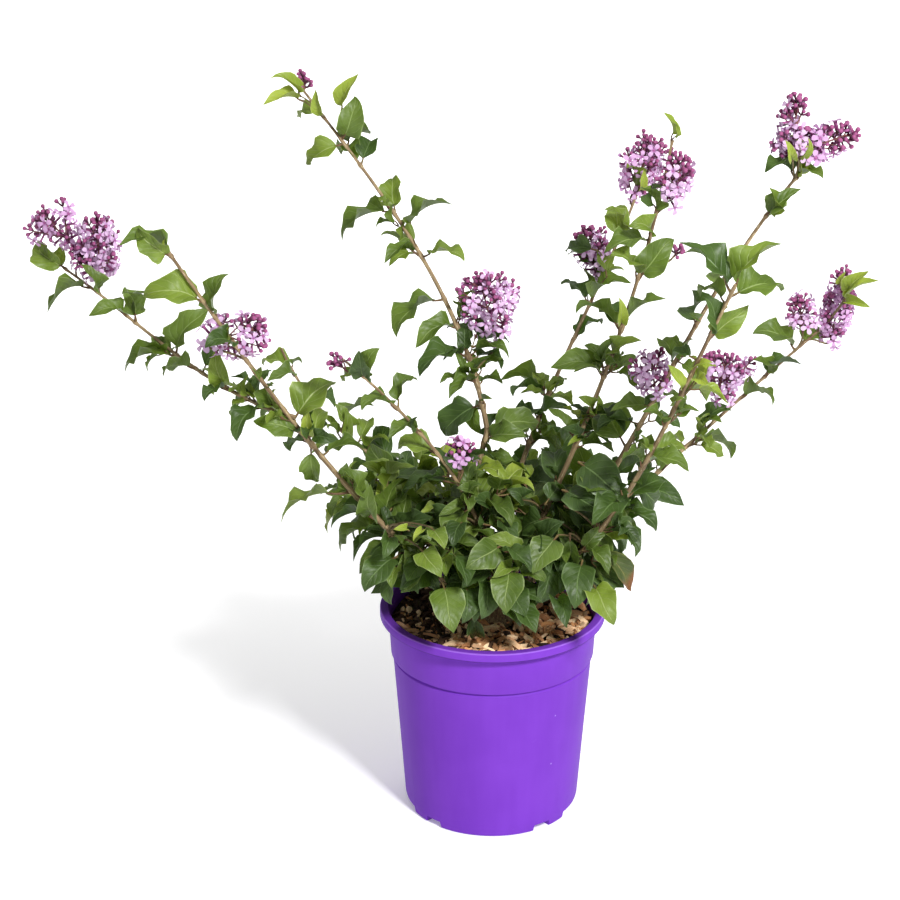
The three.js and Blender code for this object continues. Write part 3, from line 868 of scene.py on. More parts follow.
# Leaves in their places low in front and at the far right: foot in millimetres, heading, seen length
# and letter as above
looseLeaves = (
    (-174, 125, 816, 58, 54, "y"), (412, 130, 585, 24, 48, "y"), (412, 130, 583, -20, 38, "y"),
    (414, 132, 590, 46, 40, "y"), (418, 172, 590, 70, 24, "y"),
    (-119, -95, 383, -107, 30, "d"), (-109, -85, 354, -137, 53, "d"), (-95, -120, 401, -174, 20, "y"),
    (-79, -120, 402, -129, 24, "y"), (-70, -110, 400, -55, 27, "l"), (-41, -60, 395, -157, 28, "d"),
    (-35, -80, 396, -115, 30, "d"), (-12, -70, 387, -21, 39, "m"), (7, -60, 388, -64, 31, "d"),
    (59, -60, 391, -148, 35, "d"), (9, -105, 377, -150, 43, "m"), (11, -110, 371, -43, 40, "d"),
    (70, -100, 387, -129, 48, "m"), (74, -90, 366, -117, 30, "d"), (84, -100, 389, -83, 37, "m"),
    (133, -70, 367, -129, 32, "d"), (-58, -118, 337, -78, 50, "m"), (-32, -100, 324, -94, 45, "d"),
    (17, -118, 357, -98, 50, "m"), (-7, -95, 334, -98, 50, "d"), (23, -100, 304, -50, 35, "d"),
    (40, -95, 339, -52, 40, "d"), (70, -100, 309, -69, 35, "d"), (99, -100, 356, -102, 50, "d"),
    (-27, -90, 287, -74, 33, "d"), (7, -85, 302, -57, 46, "d"), (94, -50, 455, -38, 59, "d"),
    (76, -60, 425, -33, 46, "d"), (78, -70, 410, -41, 36, "d"), (161, -20, 418, -45, 42, "d"),
    (129, -60, 375, -17, 32, "l"), (122, -82, 365, -58, 56, "b"), (112, -112, 330, -66, 54, "l"),
    (52, -70, 367, 45, 32, "d"), (-83, -110, 375, -52, 37, "l"), (-48, -110, 371, -57, 37, "d"),
    (-73, -80, 347, -138, 34, "d"), (30, -40, 404, 145, 28, "d"), (-27, -40, 398, 167, 35, "m"),
    (58, -40, 398, 52, 28, "d"), (1, -40, 389, 139, 26, "d"), (8, 10, 378, -80, 46, "d"),
    (-14, 10, 350, -110, 46, "d"), (22, 10, 368, -60, 44, "d"),
    (304, -145, 828, 118, 32, "y"), (309, -145, 831, 84, 26, "y"), (126, 178, 633, 177, 40, "d"),
    (137, 178, 600, 104, 28, "l"), (58, 30, 322, -60, 44, "d"),
    (-220, 126, 832, 165, 46, "y"), (-217, 126, 827, -158, 48, "y"),
)
# Side shoots that fill the low leaf masses, growing from the nearest cane: how many, how low in the
# mass they end, from 1 at its top to -1 at its bottom, and how much lighter their leaves are, which partly
# paints the light on the better lit masses such as the top one
sideShoots = {
    "leaves_base_top": (5, -1.0, 0.85),
    "leaves_base_front_left": (6, 0.3, 0.15),
    "leaves_base_front": (5, 0.3, 0.1),
    "leaves_base_front_right": (6, 0.2, 0.1),
    "leaves_base_right": (8, -0.6, 0.12),
    "leaves_base_left": (7, -0.6, 0.5),
    "leaves_base_back_left": (7, -1.0, 0.6),
    "leaves_base_back_right": (8, -1.0, 0.25),
}
# millimetres for the shoots' line and leaves, and shares of their span for where the line bends, how far
# it is pulled along the cane and how far it is lifted
shootShape = {"inset": 30, "gap": 27, "firstPair": 0.34, "size": 57, "foot": 1.9, "tip": 0.8, "bare": 6,
              "leastRise": 30, "tooNear": 35, "step": 4, "bend": 0.45, "pull": 0.14, "lift": 0.08,
              "wobble": 4}
goldenTurn = math.pi * (3 - math.sqrt(5))
sideTwigs = []


def footOnCane(cost, step):
    # the place on the canes with the least cost: its point, the way the cane runs there, its thickness
    places = [(stem, index) for stem in canes.values() for index in range(4, len(stem.points), step)]
    stem, index = min(places, key=lambda place: cost(*place))
    return Vector(stem.points[index]), stem.along(stem.reach[index]), stem.radii[index]


def growShoot(tip, rng):
    # a side shoot with this tip, from a near place on a cane that is below it and not too close
    def cost(stem, index):
        span = tip - Vector(stem.points[index])
        flat = max(0.0, shootShape["leastRise"] * mm - span.z)
        return span.length + flat * 1.5 + (50 * mm if span.length < shootShape["tooNear"] * mm else 0)

    foot, heading, thick = footOnCane(cost, 3)
    span = tip - foot
    pull, lift, wobble = shootShape["pull"], shootShape["lift"], shootShape["wobble"] * mm
    bendPoint = foot + span * shootShape["bend"] + heading * span.length * pull + up * span.length * lift
    bendPoint += Vector((rng.gauss(0, wobble), rng.gauss(0, wobble), 0))
    steps = max(6, round(span.length / (shootShape["step"] * mm)))
    radii = np.linspace(min(shootShape["foot"] * mm, thick * 0.75), shootShape["tip"] * mm, steps + 1)
    return Stem(bent(steps, foot, bendPoint, tip), radii)


def dressShoot(stem, lighter, rng):
    distance = stem.length * shootShape["firstPair"]
    pair = 0
    start = rng.uniform(0, 180)
    full = shootShape["size"] * mm
    while distance < stem.length - shootShape["bare"] * mm:
        share = distance / stem.length
        turn = math.radians(start + 90 * pair + rng.gauss(0, 14))
        shades = (heightIn(stem, distance), 0.32 * share + lighter)
        growPair(stem, distance, turn, shades, full * (1 - 0.22 * share), (0.8, 1.14),
                 olderKinds + broadKinds * 2, 0.6, 0.26, rng)
        distance += shootShape["gap"] * mm * rng.uniform(0.85, 1.15)
        pair += 1
    growPair(stem, stem.length - 1 * mm, math.radians(start + 90 * pair), (0.2, 0.55 + lighter), full,
             (0.55, 0.8), olderKinds + youngKinds, 1.1, 0.25, rng)


def fillMass(node, count, lowest, lighter, rng):
    low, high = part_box(node)
    inner = Vector([max(0.35 * part, part - shootShape["inset"] * mm) for part in (high - low) / 2])
    start = rng.uniform(0, math.tau)
    for index in range(count):
        height = 1 - (1 - lowest) * (index + 0.5) / count
        direction = Vector(polar(math.sqrt(1 - height * height), start + index * goldenTurn, height))
        tip = (low + high) / 2 + inner * direction * rng.uniform(0.75, 1.0)
        sideTwigs.append(growShoot(tip, rng))
        dressShoot(sideTwigs[-1], lighter, rng)


for number, (node, (count, lowest, lighter)) in enumerate(sideShoots.items()):
    fillMass(node, count, lowest, lighter, random.Random(seeds["masses"] + number))
rng = random.Random(seeds["looseLeaves"])
for x, y, z, degrees, seen, letter in looseLeaves:
    sideTwigs.append(growShoot(Vector((x, y, z)) * mm, rng))
    placeLeaf(sideTwigs[-1], 1, degrees, seen, letter, rng, broadKinds * 4 + olderKinds, 1.06, 16, 0.35)
say(f"{len(sideTwigs)} side shoots, {len(petioles)} leaves")


# Pot: one wall from the foot ring up over the lip and down inside

potShape = {
    "height": 254, "rim": 132.5, "wall": 3, "lip": 11, "lipBreadth": 10, "collarTop": 122.5,
    "collarFoot": 119.8, "collarFootZ": 197, "stepFall": 3, "bodyTop": 117.2, "foot": 103, "floor": 9,
    "pad": 70, "ring": 11, "recess": 5, "notch": 6.5, "turn": -4, "pitch": 2.5, "notchEdge": 0.5,
    "feet": ((0, 65), (52, 14), (128, 14), (180, 65), (232, 14), (308, 14)),
}


def apart(first, second):
    # how many degrees lie between two angles
    return abs((first - second + 180) % 360 - 180)


def potAngles():
    # round the pot in even steps, with a close pair of angles at each side of each notch
    edge = potShape["notchEdge"]
    steps = [float(step) for step in np.arange(0, 360, potShape["pitch"])]
    for side in [middle + sign * width / 2 for middle, width in potShape["feet"] for sign in (-1, 1)]:
        steps = [step for step in steps if apart(step, side) > 1.2]
        steps += [(side - edge) % 360, (side + edge) % 360]
    return sorted(steps)


def potProfile(angle):
    # radius and height of the section, in millimetres, from the edge of the pad outwards and round to
    # the inside of the floor
    top, rim, wall, pad, recess = [potShape[key] for key in ("height", "rim", "wall", "pad", "recess")]
    foot, body, collarFoot, collarTop, collarZ = [
        potShape[key] for key in ("foot", "bodyTop", "collarFoot", "collarTop", "collarFootZ")]
    onFoot = any(apart(angle, middle) <= width / 2 for middle, width in potShape["feet"])
    footZ = 0 if onFoot else potShape["notch"]
    lipZ, stepZ = top - potShape["lip"], collarZ - potShape["stepFall"]
    slope = (body - foot) / stepZ
    inner, ringIn = rim - potShape["lipBreadth"], foot - potShape["ring"]
    return [
        (pad - 1, 0), (pad, 0.3), (pad + 1.6, recess - 0.4), (pad + 2.4, recess), (ringIn - 2, recess),
        (ringIn - 1, max(footZ, recess)), (ringIn - 0.6, footZ + 0.5), (ringIn + 0.4, footZ),
        (foot - 3.2, footZ), (foot - 1.4, footZ + 0.5), (foot - 0.4 + footZ * slope, footZ + 1.6),
        (foot + footZ * slope, footZ + 3.0), (foot + 12 * slope, 12),
        (foot + 0.5 * stepZ * slope, 0.5 * stepZ), (body + 0.1, stepZ - 3), (body - 0.3, stepZ - 2.2),
        (body - 1.5, stepZ - 0.6), (body - 1.3, stepZ + 0.9), (collarFoot - 0.5, collarZ - 0.9),
        (collarFoot, collarZ + 0.2),
        (collarTop, lipZ), (rim - 0.8, lipZ), (rim - 0.2, lipZ + 0.5), (rim, lipZ + 1.2), (rim, top - 1.8),
        (rim - 0.3, top - 0.8), (rim - 1.1, top - 0.15), (rim - 2.0, top), (inner + 1.2, top),
        (inner + 0.3, top - 0.3), (inner, top - 1.2), (collarTop - wall + 0.5, lipZ + 1.2),
        (collarTop - wall, lipZ - 0.5), (collarFoot - wall, collarZ), (body - wall, stepZ),
        (foot + potShape["floor"] * slope - wall, potShape["floor"]),
    ]


def potLook():
    look, maker = newLook("purplePlastic")
    place = maker.objectPlace()
    clouds = maker.noise(place, 9, 3.0)
    flow = maker.noise(maker.stretch(place, (1, 1, 0.12)), 60)
    scuffs = maker.fade(maker.noise(maker.stretch(place, (0.5, 0.5, 1.6)), 55, 6.0, 0.7), 0.66, 0.74)
    patches = maker.fade(clouds * 0.7 + flow * 0.3, 0.3, 0.7)
    base = maker.blend(patches, tint(108, 52, 174), tint(117, 59, 184))
    base = maker.blend(scuffs * 0.08, base, tint(170, 120, 226))
    base = maker.blend(maker.dots(place, 26, 0.020, 0.034) * 0.35, base, tint(206, 180, 236))
    # the lip gets a painted highlight along its rounded top edge and a painted shadow in the corner under it
    level = maker.part(place, 2)
    reach = maker.vector("LENGTH", {0: maker.stretch(place, (1, 1, 0))}, 1)
    rim, top = potShape["rim"] * mm, potShape["height"] * mm
    under = top - potShape["lip"] * mm
    outer = maker.fade(reach, rim - 1.8 * mm, rim - 0.8 * mm)
    # painted highlight: a pale line along the lip's outer top edge
    paintedHighlight = outer * maker.fade(level, top - 1.9 * mm, top - 0.9 * mm) * 0.4
    base = maker.blend(paintedHighlight, base, tint(176, 128, 232))
    # painted shadow: a dark line on the collar just under the lip's overhang
    paintedShadow = outer * (1 - maker.fade(level, under + 0.6 * mm, under + 1.5 * mm)) * 0.8
    base = maker.blend(paintedShadow, base, tint(52, 20, 92))
    height = maker.noise(place, 1400) * 0.5 + flow * 0.5
    shade(maker, {"Base Color": base, "Roughness": 0.46 + clouds * 0.08 + scuffs * 0.12,
                  "Specular IOR Level": 0.06, "Normal": maker.bump(height, 0.12, 0.3 * mm)})
    return look


def makePot():
    lines = []
    for angle in potAngles():
        turn = math.radians(angle + potShape["turn"] - 90)
        lines.append([polar(radius * mm, turn, height * mm) for radius, height in potProfile(angle)])
    mesh = shell("nurseryPot", list(zip(*lines)), [(0, 0, 0), (0, 0, potShape["floor"] * mm)])
    mesh.shade_smooth()
    mesh.set_sharp_from_angle(angle=math.radians(24))
    mesh.materials.append(potLook())
    return newObject("nurseryPot", mesh)


keep(makePot(), "pot_plastic", "pot")
say("pot is thrown")


# Potting mix with a rough top, and bark chips lying on it

mixShape = {"relief": 4.0, "waves": 7, "rings": 34, "segments": 120, "edgeGap": 0.6, "shoulder": 190,
            "settled": 2}
mixLow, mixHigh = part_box("potting_mix")
mixRim = potShape["collarTop"] - potShape["wall"] - mixShape["edgeGap"] - 0.4
chipShape = {"kinds": 10, "length": 13, "breadth": 3.6, "thickness": 3.0, "cells": 46, "wallGap": 7}
# towards is the side of the bed on which the chips of that colour lie thickest
chipSets = {
    "chipsPale": {"Density": 17000, "Seed": 3, "Size": 1.25, "Lift": 6.5 * mm, "Towards": (0.45, -0.89, 0)},
    "chipsTan": {"Density": 13000, "Seed": 8, "Size": 1.15, "Lift": 5.0 * mm, "Towards": (0.6, -0.8, 0)},
    "chipsDark": {"Density": 20000, "Seed": 14, "Size": 1.1, "Lift": 4.5 * mm, "Towards": (-0.95, 0.3, 0)},
}
chipColours = {
    "chipsPale": (tint(252, 220, 178), tint(184, 126, 82)),
    "chipsTan": (tint(224, 164, 112), tint(128, 80, 50)),
    "chipsDark": (tint(98, 72, 56), tint(34, 25, 21)),
}
rng = random.Random(seeds["mix"])
mixWaves = [(rng.uniform(20, 90), rng.uniform(0, math.tau), rng.uniform(0, math.tau))
            for wave in range(mixShape["waves"])]


def mixPoint(x, y, below):
    # a point on the lumpy top of the mix, or a little below it
    total = sum(math.sin(number * (x * math.cos(turn) + y * math.sin(turn)) + phase)
                for number, turn, phase in mixWaves)
    return (x, y, mixHigh.z - below * mm + total / len(mixWaves) * mixShape["relief"] * mm)


def mixLook():
    look, maker = newLook("pottingMix")
    place = maker.objectPlace()
    crumbs = maker.noise(place, 320, 5.0, 0.65)
    base = maker.blend(maker.fade(crumbs, 0.35, 0.7), tint(26, 18, 14), tint(92, 66, 48))
    base = maker.blend(maker.fade(maker.noise(place, 700), 0.66, 0.74) * 0.5, base, tint(160, 124, 88))
    shade(maker, {"Base Color": base, "Roughness": 0.85 + crumbs * 0.15,
                  "Normal": maker.bump(crumbs, 0.9, 2 * mm)})
    return look


def makeMix():
    count, segments, below = mixShape["rings"], mixShape["segments"], mixShape["settled"]
    rings = []
    for ring in range(1, count + 1):
        rings.append([mixPoint(x, y, below) for x, y, z in circle(mixRim * mm * ring / count, 0, segments)])
    wall, floor = potShape["wall"], mixLow.z + 1 * mm
    rings.append(circle((potShape["bodyTop"] - wall - 1) * mm, mixShape["shoulder"] * mm, segments))
    rings.append(circle((potShape["foot"] - wall - mixShape["edgeGap"]) * mm, floor, segments))
    mesh = shell("pottingMixBed", rings, [mixPoint(0, 0, below), (0, 0, floor)], flipped=True)
    mesh.shade_smooth()
    mesh.materials.append(mixLook())
    return newObject("pottingMixBed", mesh)


def chipLook(name):
    look, maker = newLook(name)
    pale, deep = chipColours[name]
    grain = maker.noise(maker.stretch(maker.shapeMap(), (1.5, 16, 1)), 3.0, 4.0, 0.6)
    tone = maker.node("ShaderNodeAttribute", {}, 2, attribute_name="chipTone")
    fine = maker.noise(maker.objectPlace(), 600)
    base = maker.blend(maker.fade(tone * 0.7 + grain * 0.3 + fine * 0.2, 0.1, 1.0), deep, pale)
    shade(maker, {"Base Color": base, "Roughness": 0.75 + grain * 0.2, "Specular IOR Level": 0.2,
                  "Normal": maker.bump(grain, 0.5, 0.6 * mm)})
    return look


def chipMesh(number):
    # a split sliver: a straight prism that narrows a little, with its ends cut askew
    rng = random.Random(seeds["chips"] + number)
    length = chipShape["length"] * mm * rng.uniform(0.7, 1.25)
    breadth = chipShape["breadth"] * mm * rng.uniform(0.55, 1.3)
    thick = chipShape["thickness"] * mm * rng.uniform(0.7, 1.3)
    slants = (rng.uniform(-0.6, 0.6), 0, 0, rng.uniform(-0.6, 0.6))
    wides = (rng.uniform(0.35, 0.9), rng.uniform(0.9, 1.05), rng.uniform(0.9, 1.05), rng.uniform(0.35, 0.9))
    arch = rng.uniform(-0.5, 0.5) * thick
    rings, uvs = [], []
    for station, slant, wide, high in zip((-0.5, -0.2, 0.2, 0.5), slants, wides, (0.7, 1, 1, 0.7)):
        ring = []
        for side, level in ((-1, -1), (1, -1), (1, 1), (-1, 1)):
            ring.append((station * length + side * slant * breadth / 2, side * breadth / 2 * wide,
                         level * thick / 2 * high + arch * (1 - 4 * station * station)))
            uvs.append((station + 0.5, 0.5 + side / 2 * wide))
        rings.append(ring)
    return shell(f"chip{number}", rings, flipped=True, uvs=uvs)


def makeChipTree():
    tree, maker, given = newTree("chipsOnBed", {
        "Shapes": "Collection", "Density": "Float", "Towards": "Vector", "Seed": "Int", "Size": "Float",
        "Lift": "Float"})
    seed, size = given["Seed"], given["Size"]
    place = maker.node("GeometryNodeInputPosition", {})
    side = maker.vector("DOT_PRODUCT", {0: place, 1: given["Towards"]}, 1)
    thickness = 0.14 + maker.fade(side, -0.05, 0.07) * 0.86
    points = maker.node("GeometryNodeDistributePointsOnFaces",
                        {"Mesh": given["Geometry"], "Density": given["Density"] * thickness, "Seed": seed},
                        distribute_method="RANDOM")
    lift = maker.node("ShaderNodeCombineXYZ", {"Z": maker.drawn("FLOAT", 0.0, given["Lift"], seed + 5.0)})
    raised = maker.node("GeometryNodeSetPosition", {"Geometry": points, "Offset": lift})
    tilt = maker.drawn("FLOAT_VECTOR", (-1.0, -0.6, 0.0), (1.0, 0.6, math.tau), seed)
    placed = maker.shapesOn(raised, given["Shapes"], maker.drawn("INT", 0, chipShape["kinds"] - 1, seed),
                            maker.node("FunctionNodeEulerToRotation", {0: tilt}),
                            maker.drawn("FLOAT", 0.45 * size, 1.3 * size, seed + 9.0))
    tone = maker.drawn("FLOAT", 0.0, 1.0, seed + 13.0)
    endTree(maker, maker.stored(placed, "chipTone", tone, domain="INSTANCE"), given)
    return tree


def strewChips():
    # the chips fall on a copy of the bed's top that stops short of the wall
    chipTree = makeChipTree()
    library = shapeLibrary("chipKinds", [chipMesh(number) for number in range(chipShape["kinds"])])
    reach = (mixRim - chipShape["wallGap"]) * mm
    cells = chipShape["cells"]
    line = [-reach + cell * (2 * reach / cells) for cell in range(cells + 1)]
    points = [mixPoint(x, y, 1) for x in line for y in line]
    faces = [face for face in quads(cells + 1, cells + 1, False, True)
             if math.hypot(*(sum(points[paintedShadow][axis] for paintedShadow in face) / 4 for axis in (0, 1))) < reach]
    for name, settings in chipSets.items():
        values = settings | {"Shapes": library, "Look": chipLook(name)}
        piece = grown(name, meshOf(name + "Bed", points, faces), chipTree, values)
        piece.data.shade_flat()
        keep(piece, "potting_mix")


keep(makeMix(), "potting_mix", "potting_mix")
strewChips()
say("potting mix and chips are in")


# Blossom: cones of opposite branchlets that end in buds, with open flowers below them

# for each head its lean to the right in degrees, its length and width as shares of the mass it stands
# in for, and how far it is moved to the right and up in millimetres
headPlaces = {
    "blossom_far_left_outer": (-46, 0.98, 1.2, 3, -3),
    "blossom_far_left": (2, 0.98, 1.04, -2, -1),
    "blossom_left": (74, 1.14, 1.04, 9, 2),
    "blossom_slender": (-45, 0.8, 1.45, 0, -12),
    "blossom_low": (0, 1.0, 1.25, 3, 2),
    "blossom_tall_left_side": (-14, 0.84, 1.14, -4, -2),
    "blossom_tall_left_tip": (0, 0.8, 0.9, 0, -1),
    "blossom_back_right_tip": (20, 1.06, 0.9, 3, -3),
    "blossom_centre_right_tip": (15, 0.94, 0.98, 1, -1),
    "blossom_back_right_side": (-9, 0.9, 1.1, 0, 3),
    "blossom_tall_right_tip": (-4, 0.98, 0.92, -2, 4),
    "blossom_tall_right_outer": (70, 0.94, 1.0, -3, 9),
    "blossom_tall_right_side": (-12, 0.8, 1.2, -4, 1),
    "blossom_far_right_low": (10, 0.84, 1.16, -4, -1),
    "blossom_far_right_mid": (-8, 0.92, 1.1, 0, 3),
    "blossom_far_right_tip": (8, 0.94, 0.86, 2, 2),
}
# three more small heads: foot in millimetres, lean, length, half width
sideHeads = ((200, 10, 678, 30, 12, 6), (316, -110, 828, -70, 38, 12), (-452, 55, 643, -38, 50, 19))
budHeads = ("blossom_tall_left_tip", "blossom_slender")
headShape = {"gap": 12.5, "budGap": 6, "reach": 13, "budReach": 8, "tube": 9.0, "pedicel": (1.2, 3.4),
             "longArm": 12, "flower": (0.94, 1.14), "bud": (0.74, 0.96), "crown": 14, "shortArm": 2.5,
             "uneven": (0.8, 1.3), "room": 0.85, "steepness": (32, 56), "inward": -0.35, "spiral": 0.5}
# an arm of a head: how far its end curls up and its middle hangs, as shares of its length, and how thick
# it is; the rings of flowers that a long arm carries below the usual ones, and how buds take over
armShape = {"curl": 0.15, "sag": 0.06, "thickness": (1.05, 0.8), "firstRing": 23, "ringGap": 9,
            "budsToTop": (1.1, 1.6)}
# the bare stalk of a head: how much its foot looks for a cane that points the same way, how far it
# follows the cane and the head's own lean, and its thickness
stalkShape = {"sameWay": 0.06, "fromCane": 0.4, "intoHead": 0.35, "thickness": (1.5, 1.2)}
headProfile = ((0, 0.2, 0.4, 0.65, 0.85, 1), (0.72, 1.0, 0.94, 0.68, 0.42, 0.26))
# rings of flowers at the end of an arm: degrees from the arm, place along it in millimetres, how many,
# and the share that are open low in the head
longRings = ((0, 0, 1, 0), (40, -2, 3, 0.15), (66, -8, 3, 1.1), (80, -14, 3, 1.2))
shortRings = ((0, 0, 1, 0.5), (52, -1, 3, 1.0))
budRings = ((0, 0, 1, 0), (50, -1, 2, 0))
topRings = ((0, 0, 1, 0), (36, -3, 3, 0), (56, -10, 3, 0.2))
# a petal from its foot to its tip: distance out, half width, height, and the share of its length
petalRows = ((0.9, 0.9, 0.0, 0), (2.6, 1.7, 0.5, 0.25), (5.1, 2.6, 0.7, 0.55), (7.2, 2.4, 0.5, 0.82),
             (8.5, 1.1, 0.2, 1))
petalCups = (1.0, 2.6)
tubeProfile = ((1.4, -0.4), (1.3, 2), (1.3, 5.5), (1.7, 9.1))
budProfiles = (
    ((1.3, -0.4), (1.1, 3), (1.25, 5.2), (2.1, 6.6), (2.9, 8.2), (2.7, 9.8), (1.3, 11.1)),
    ((1.3, -0.4), (1.1, 1.5), (1.4, 3.4), (2.4, 4.8), (3.0, 6.5), (2.5, 8.1), (1.1, 9.1)),
)
flowerSprays = {"petalsPale": [], "petalsPink": [], "flowerTubes": [], "flowerBuds": []}
headStalks = []


def petalsShape(cup):
    # four spreading petals round the mouth of the tube, each narrow at its foot and blunt
    points, faces, uvs = [], [], []
    for petal in range(4):
        turn = Quaternion((0, 0, 1), petal * math.pi / 2)
        faces += quads(len(petalRows), 3, False, True, len(points))
        for radius, half, height, share in petalRows:
            for side in (-1, 0, 1):
                out = radius - 0.25 * abs(side) * (share > 0.9)
                points.append(turn @ Vector((out, side * half, height * cup + 0.55 * abs(side) * share)) * mm)
                uvs.append((share, 0.5 + side / 2))
    return meshOf("petals", points, faces, uvs)


def turnedShape(name, profile, sides):
    # a shape turned round Z from pairs of radius and height in millimetres, closed at both ends
    low, high = profile[0][1], profile[-1][1]
    rings = [circle(radius * mm, height * mm, sides) for radius, height in profile]
    uvs = [((height - low) / (high - low), side / sides)
           for radius, height in profile for side in range(sides)]
    return shell(name, rings, uvs=uvs)


def addFlower(place, direction, isOpen, kind, rng):
    size = rng.uniform(*headShape["flower" if isOpen else "bud"])
    turn = direction.to_track_quat("Z", "Y") @ Quaternion((0, 0, 1), rng.uniform(0, math.tau))
    if isOpen:
        flowerSprays["flowerTubes"].append((place, turn, size, 0))
        mouth = place + direction * headShape["tube"] * mm * size
        flowerSprays[kind].append((mouth, turn, size, rng.randrange(len(petalCups))))
    else:
        flowerSprays["flowerBuds"].append((place, turn, size, rng.randrange(len(budProfiles))))


def ringOfFlowers(stalk, ring, youth, kind, outward, rng):
    # one ring of flowers round a stalk, leaving out those that would point into the head
    degrees, offset, count, openShare = ring
    heading = stalk.along(stalk.length)
    lean = math.radians(degrees + rng.gauss(0, 6))
    start = rng.uniform(0, math.tau)
    place = stalk.at(max(0.0, stalk.length + offset * mm))
    for index in range(count):
        turn = start + math.tau * index / count + rng.gauss(0, 0.18)
        direction = heading * math.cos(lean) + across(heading, turn) * math.sin(lean)
        if outward and direction.dot(outward) < headShape["inward"]:
            continue
        foot = place + direction * rng.uniform(*headShape["pedicel"]) * mm
        headStalks.append(Stem([place, (place + foot) / 2, foot], [0.7 * mm, 0.7 * mm, 0.8 * mm]))
        addFlower(foot, direction, rng.random() < openShare - youth, kind, rng)


def leaning(degrees):
    lean = math.radians(degrees)
    return Vector((math.sin(lean), 0, math.cos(lean)))


def growHead(node, rng):
    # a head in the place of a CAD mass, as long and wide as that is along and across the head's lean
    degrees, lengthShare, wideShare, right, rise = headPlaces[node]
    axis = leaning(degrees)
    low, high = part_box(node)
    middle = (low + high) / 2
    corners = np.array([vertex.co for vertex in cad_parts[node].data.vertices]) - np.array(middle)
    levels = corners @ np.array(axis)
    length = float(levels.max() - levels.min()) * lengthShare
    wide = float(np.linalg.norm(corners - np.outer(levels, axis), axis=1).max()) * wideShare
    foot = middle + Vector((right, 0, rise)) * mm - axis * length / 2
    growThyrse(foot, axis, length, wide, node in budHeads, rng)


def stalkTo(foot, axis):
    # the bare stalk of a head, leaving the cane below it at a narrow angle
    def cost(stem, index):
        span = foot - Vector(stem.points[index])
        sameWay = span.normalized().dot(stem.along(stem.reach[index]))
        return span.length + stalkShape["sameWay"] * (1 - sameWay)

    start, heading, thick = footOnCane(cost, 1)
    span = (foot - start).length
    first = start + heading * span * stalkShape["fromCane"]
    second = foot - axis * span * stalkShape["intoHead"]
    low, high = stalkShape["thickness"]
    points = bent(9, start, first, second, foot + axis * 1 * mm)
    return Stem(points, np.linspace(min(low * mm, thick * 0.8), high * mm, 10))


def growArm(foot, heading, axis, outward, length, share, onlyBuds, kind, rng):
    tip = foot + heading * length + axis * length * armShape["curl"]
    sag = armShape["sag"]
    points = [foot.lerp(tip, t / 6) - axis * math.sin(math.pi * t / 6) * sag * length for t in range(7)]
    arm = Stem(points, np.linspace(*armShape["thickness"], 7) * mm)
    headStalks.append(arm)
    rings = budRings if onlyBuds else longRings if length > headShape["longArm"] * mm else shortRings
    if not onlyBuds:
        offsets = range(armShape["firstRing"], round(length / mm) - 2, armShape["ringGap"])
        rings += tuple((84, -offset, 3, 1.1) for offset in offsets)
    most, power = armShape["budsToTop"]
    for ring in rings:
        ringOfFlowers(arm, ring, most * share ** power, kind, outward, rng)


def growThyrse(foot, axis, length, wide, onlyBuds, rng):
    reach = headShape["budReach" if onlyBuds else "reach"] * mm
    top = foot + axis * max(length * 0.4, length - headShape["crown"] * mm)
    sideTwigs.append(stalkTo(foot, axis))
    rachis = Stem([foot.lerp(top, share) for share in np.linspace(0, 1, 12)], np.linspace(1.4, 0.9, 12) * mm)
    headStalks.append(rachis)
    kind = rng.choice(("petalsPale", "petalsPink"))
    gap = headShape["budGap" if onlyBuds else "gap"]
    count = max(1 if wide < 8 * mm else 2, math.ceil(rachis.length / (gap * mm)))
    low, high = headShape["steepness"]
    for pair in range(count):
        share = (pair + 0.4) / count
        radius = wide * float(np.interp(share * rachis.length / length, *headProfile))
        for flip in (0, math.pi):
            outward = across(axis, pair * math.pi / 2 + flip + headShape["spiral"] + rng.gauss(0, 0.2))
            rise = math.radians(low + (high - low) * share + rng.gauss(0, 7))
            heading = outward * math.cos(rise) + axis * math.sin(rise)
            room = headShape["room"] * (length - reach - rachis.length * share) / math.sin(rise)
            wanted = (radius - reach) * rng.uniform(*headShape["uneven"]) / math.cos(rise)
            arm = max(headShape["shortArm"] * mm, min(room, wanted))
            growArm(rachis.at(rachis.length * share), heading, axis, outward, arm, share, onlyBuds, kind, rng)
    for ring in topRings[:2] if onlyBuds else topRings:
        ringOfFlowers(rachis, ring, 0, kind, None, rng)


flowerColours = {
    "petalsPale": (tint(162, 98, 166), tint(222, 188, 224)),
    "petalsPink": (tint(156, 88, 154), tint(214, 170, 214)),
    "flowerTubes": (tint(120, 46, 98), tint(176, 98, 154)),
    "flowerBuds": (tint(98, 34, 74), tint(164, 84, 134)),
}


def flowerLook(name):
    look, maker = newLook(name)
    deep, pale = flowerColours[name]
    place = maker.objectPlace()
    clouds, fine = maker.noise(place, 130), maker.noise(place, 1600)
    out = maker.part(maker.shapeMap(), 0)
    if name.startswith("petals"):
        share = maker.fade(out, 0.0, 0.4) * 0.85 + clouds * 0.3
    else:
        share = maker.fade(out + (clouds - 0.5) * 0.4, 0.35, 0.85)
    shade(maker, {"Base Color": maker.blend(share, deep, pale), "Roughness": 0.5 + fine * 0.15,
                  "Specular IOR Level": 0.35, "Sheen Weight": 0.12,
                  "Normal": maker.bump(fine, 0.2, 0.2 * mm)},
          pale, 0.22)
    return look


for number, node in enumerate(headPlaces):
    growHead(node, random.Random(seeds["heads"] + number))
rng = random.Random(seeds["sideHeads"])
for x, y, z, degrees, length, wide in sideHeads:
    growThyrse(Vector((x, y, z)) * mm, leaning(degrees), length * mm, wide * mm, wide < 8, rng)
say(", ".join(f"{len(placed)} {name}" for name, placed in flowerSprays.items()))


# Everything that was laid out is made into pieces

caneBark, twigBark = barkLook("cane"), barkLook("twig")
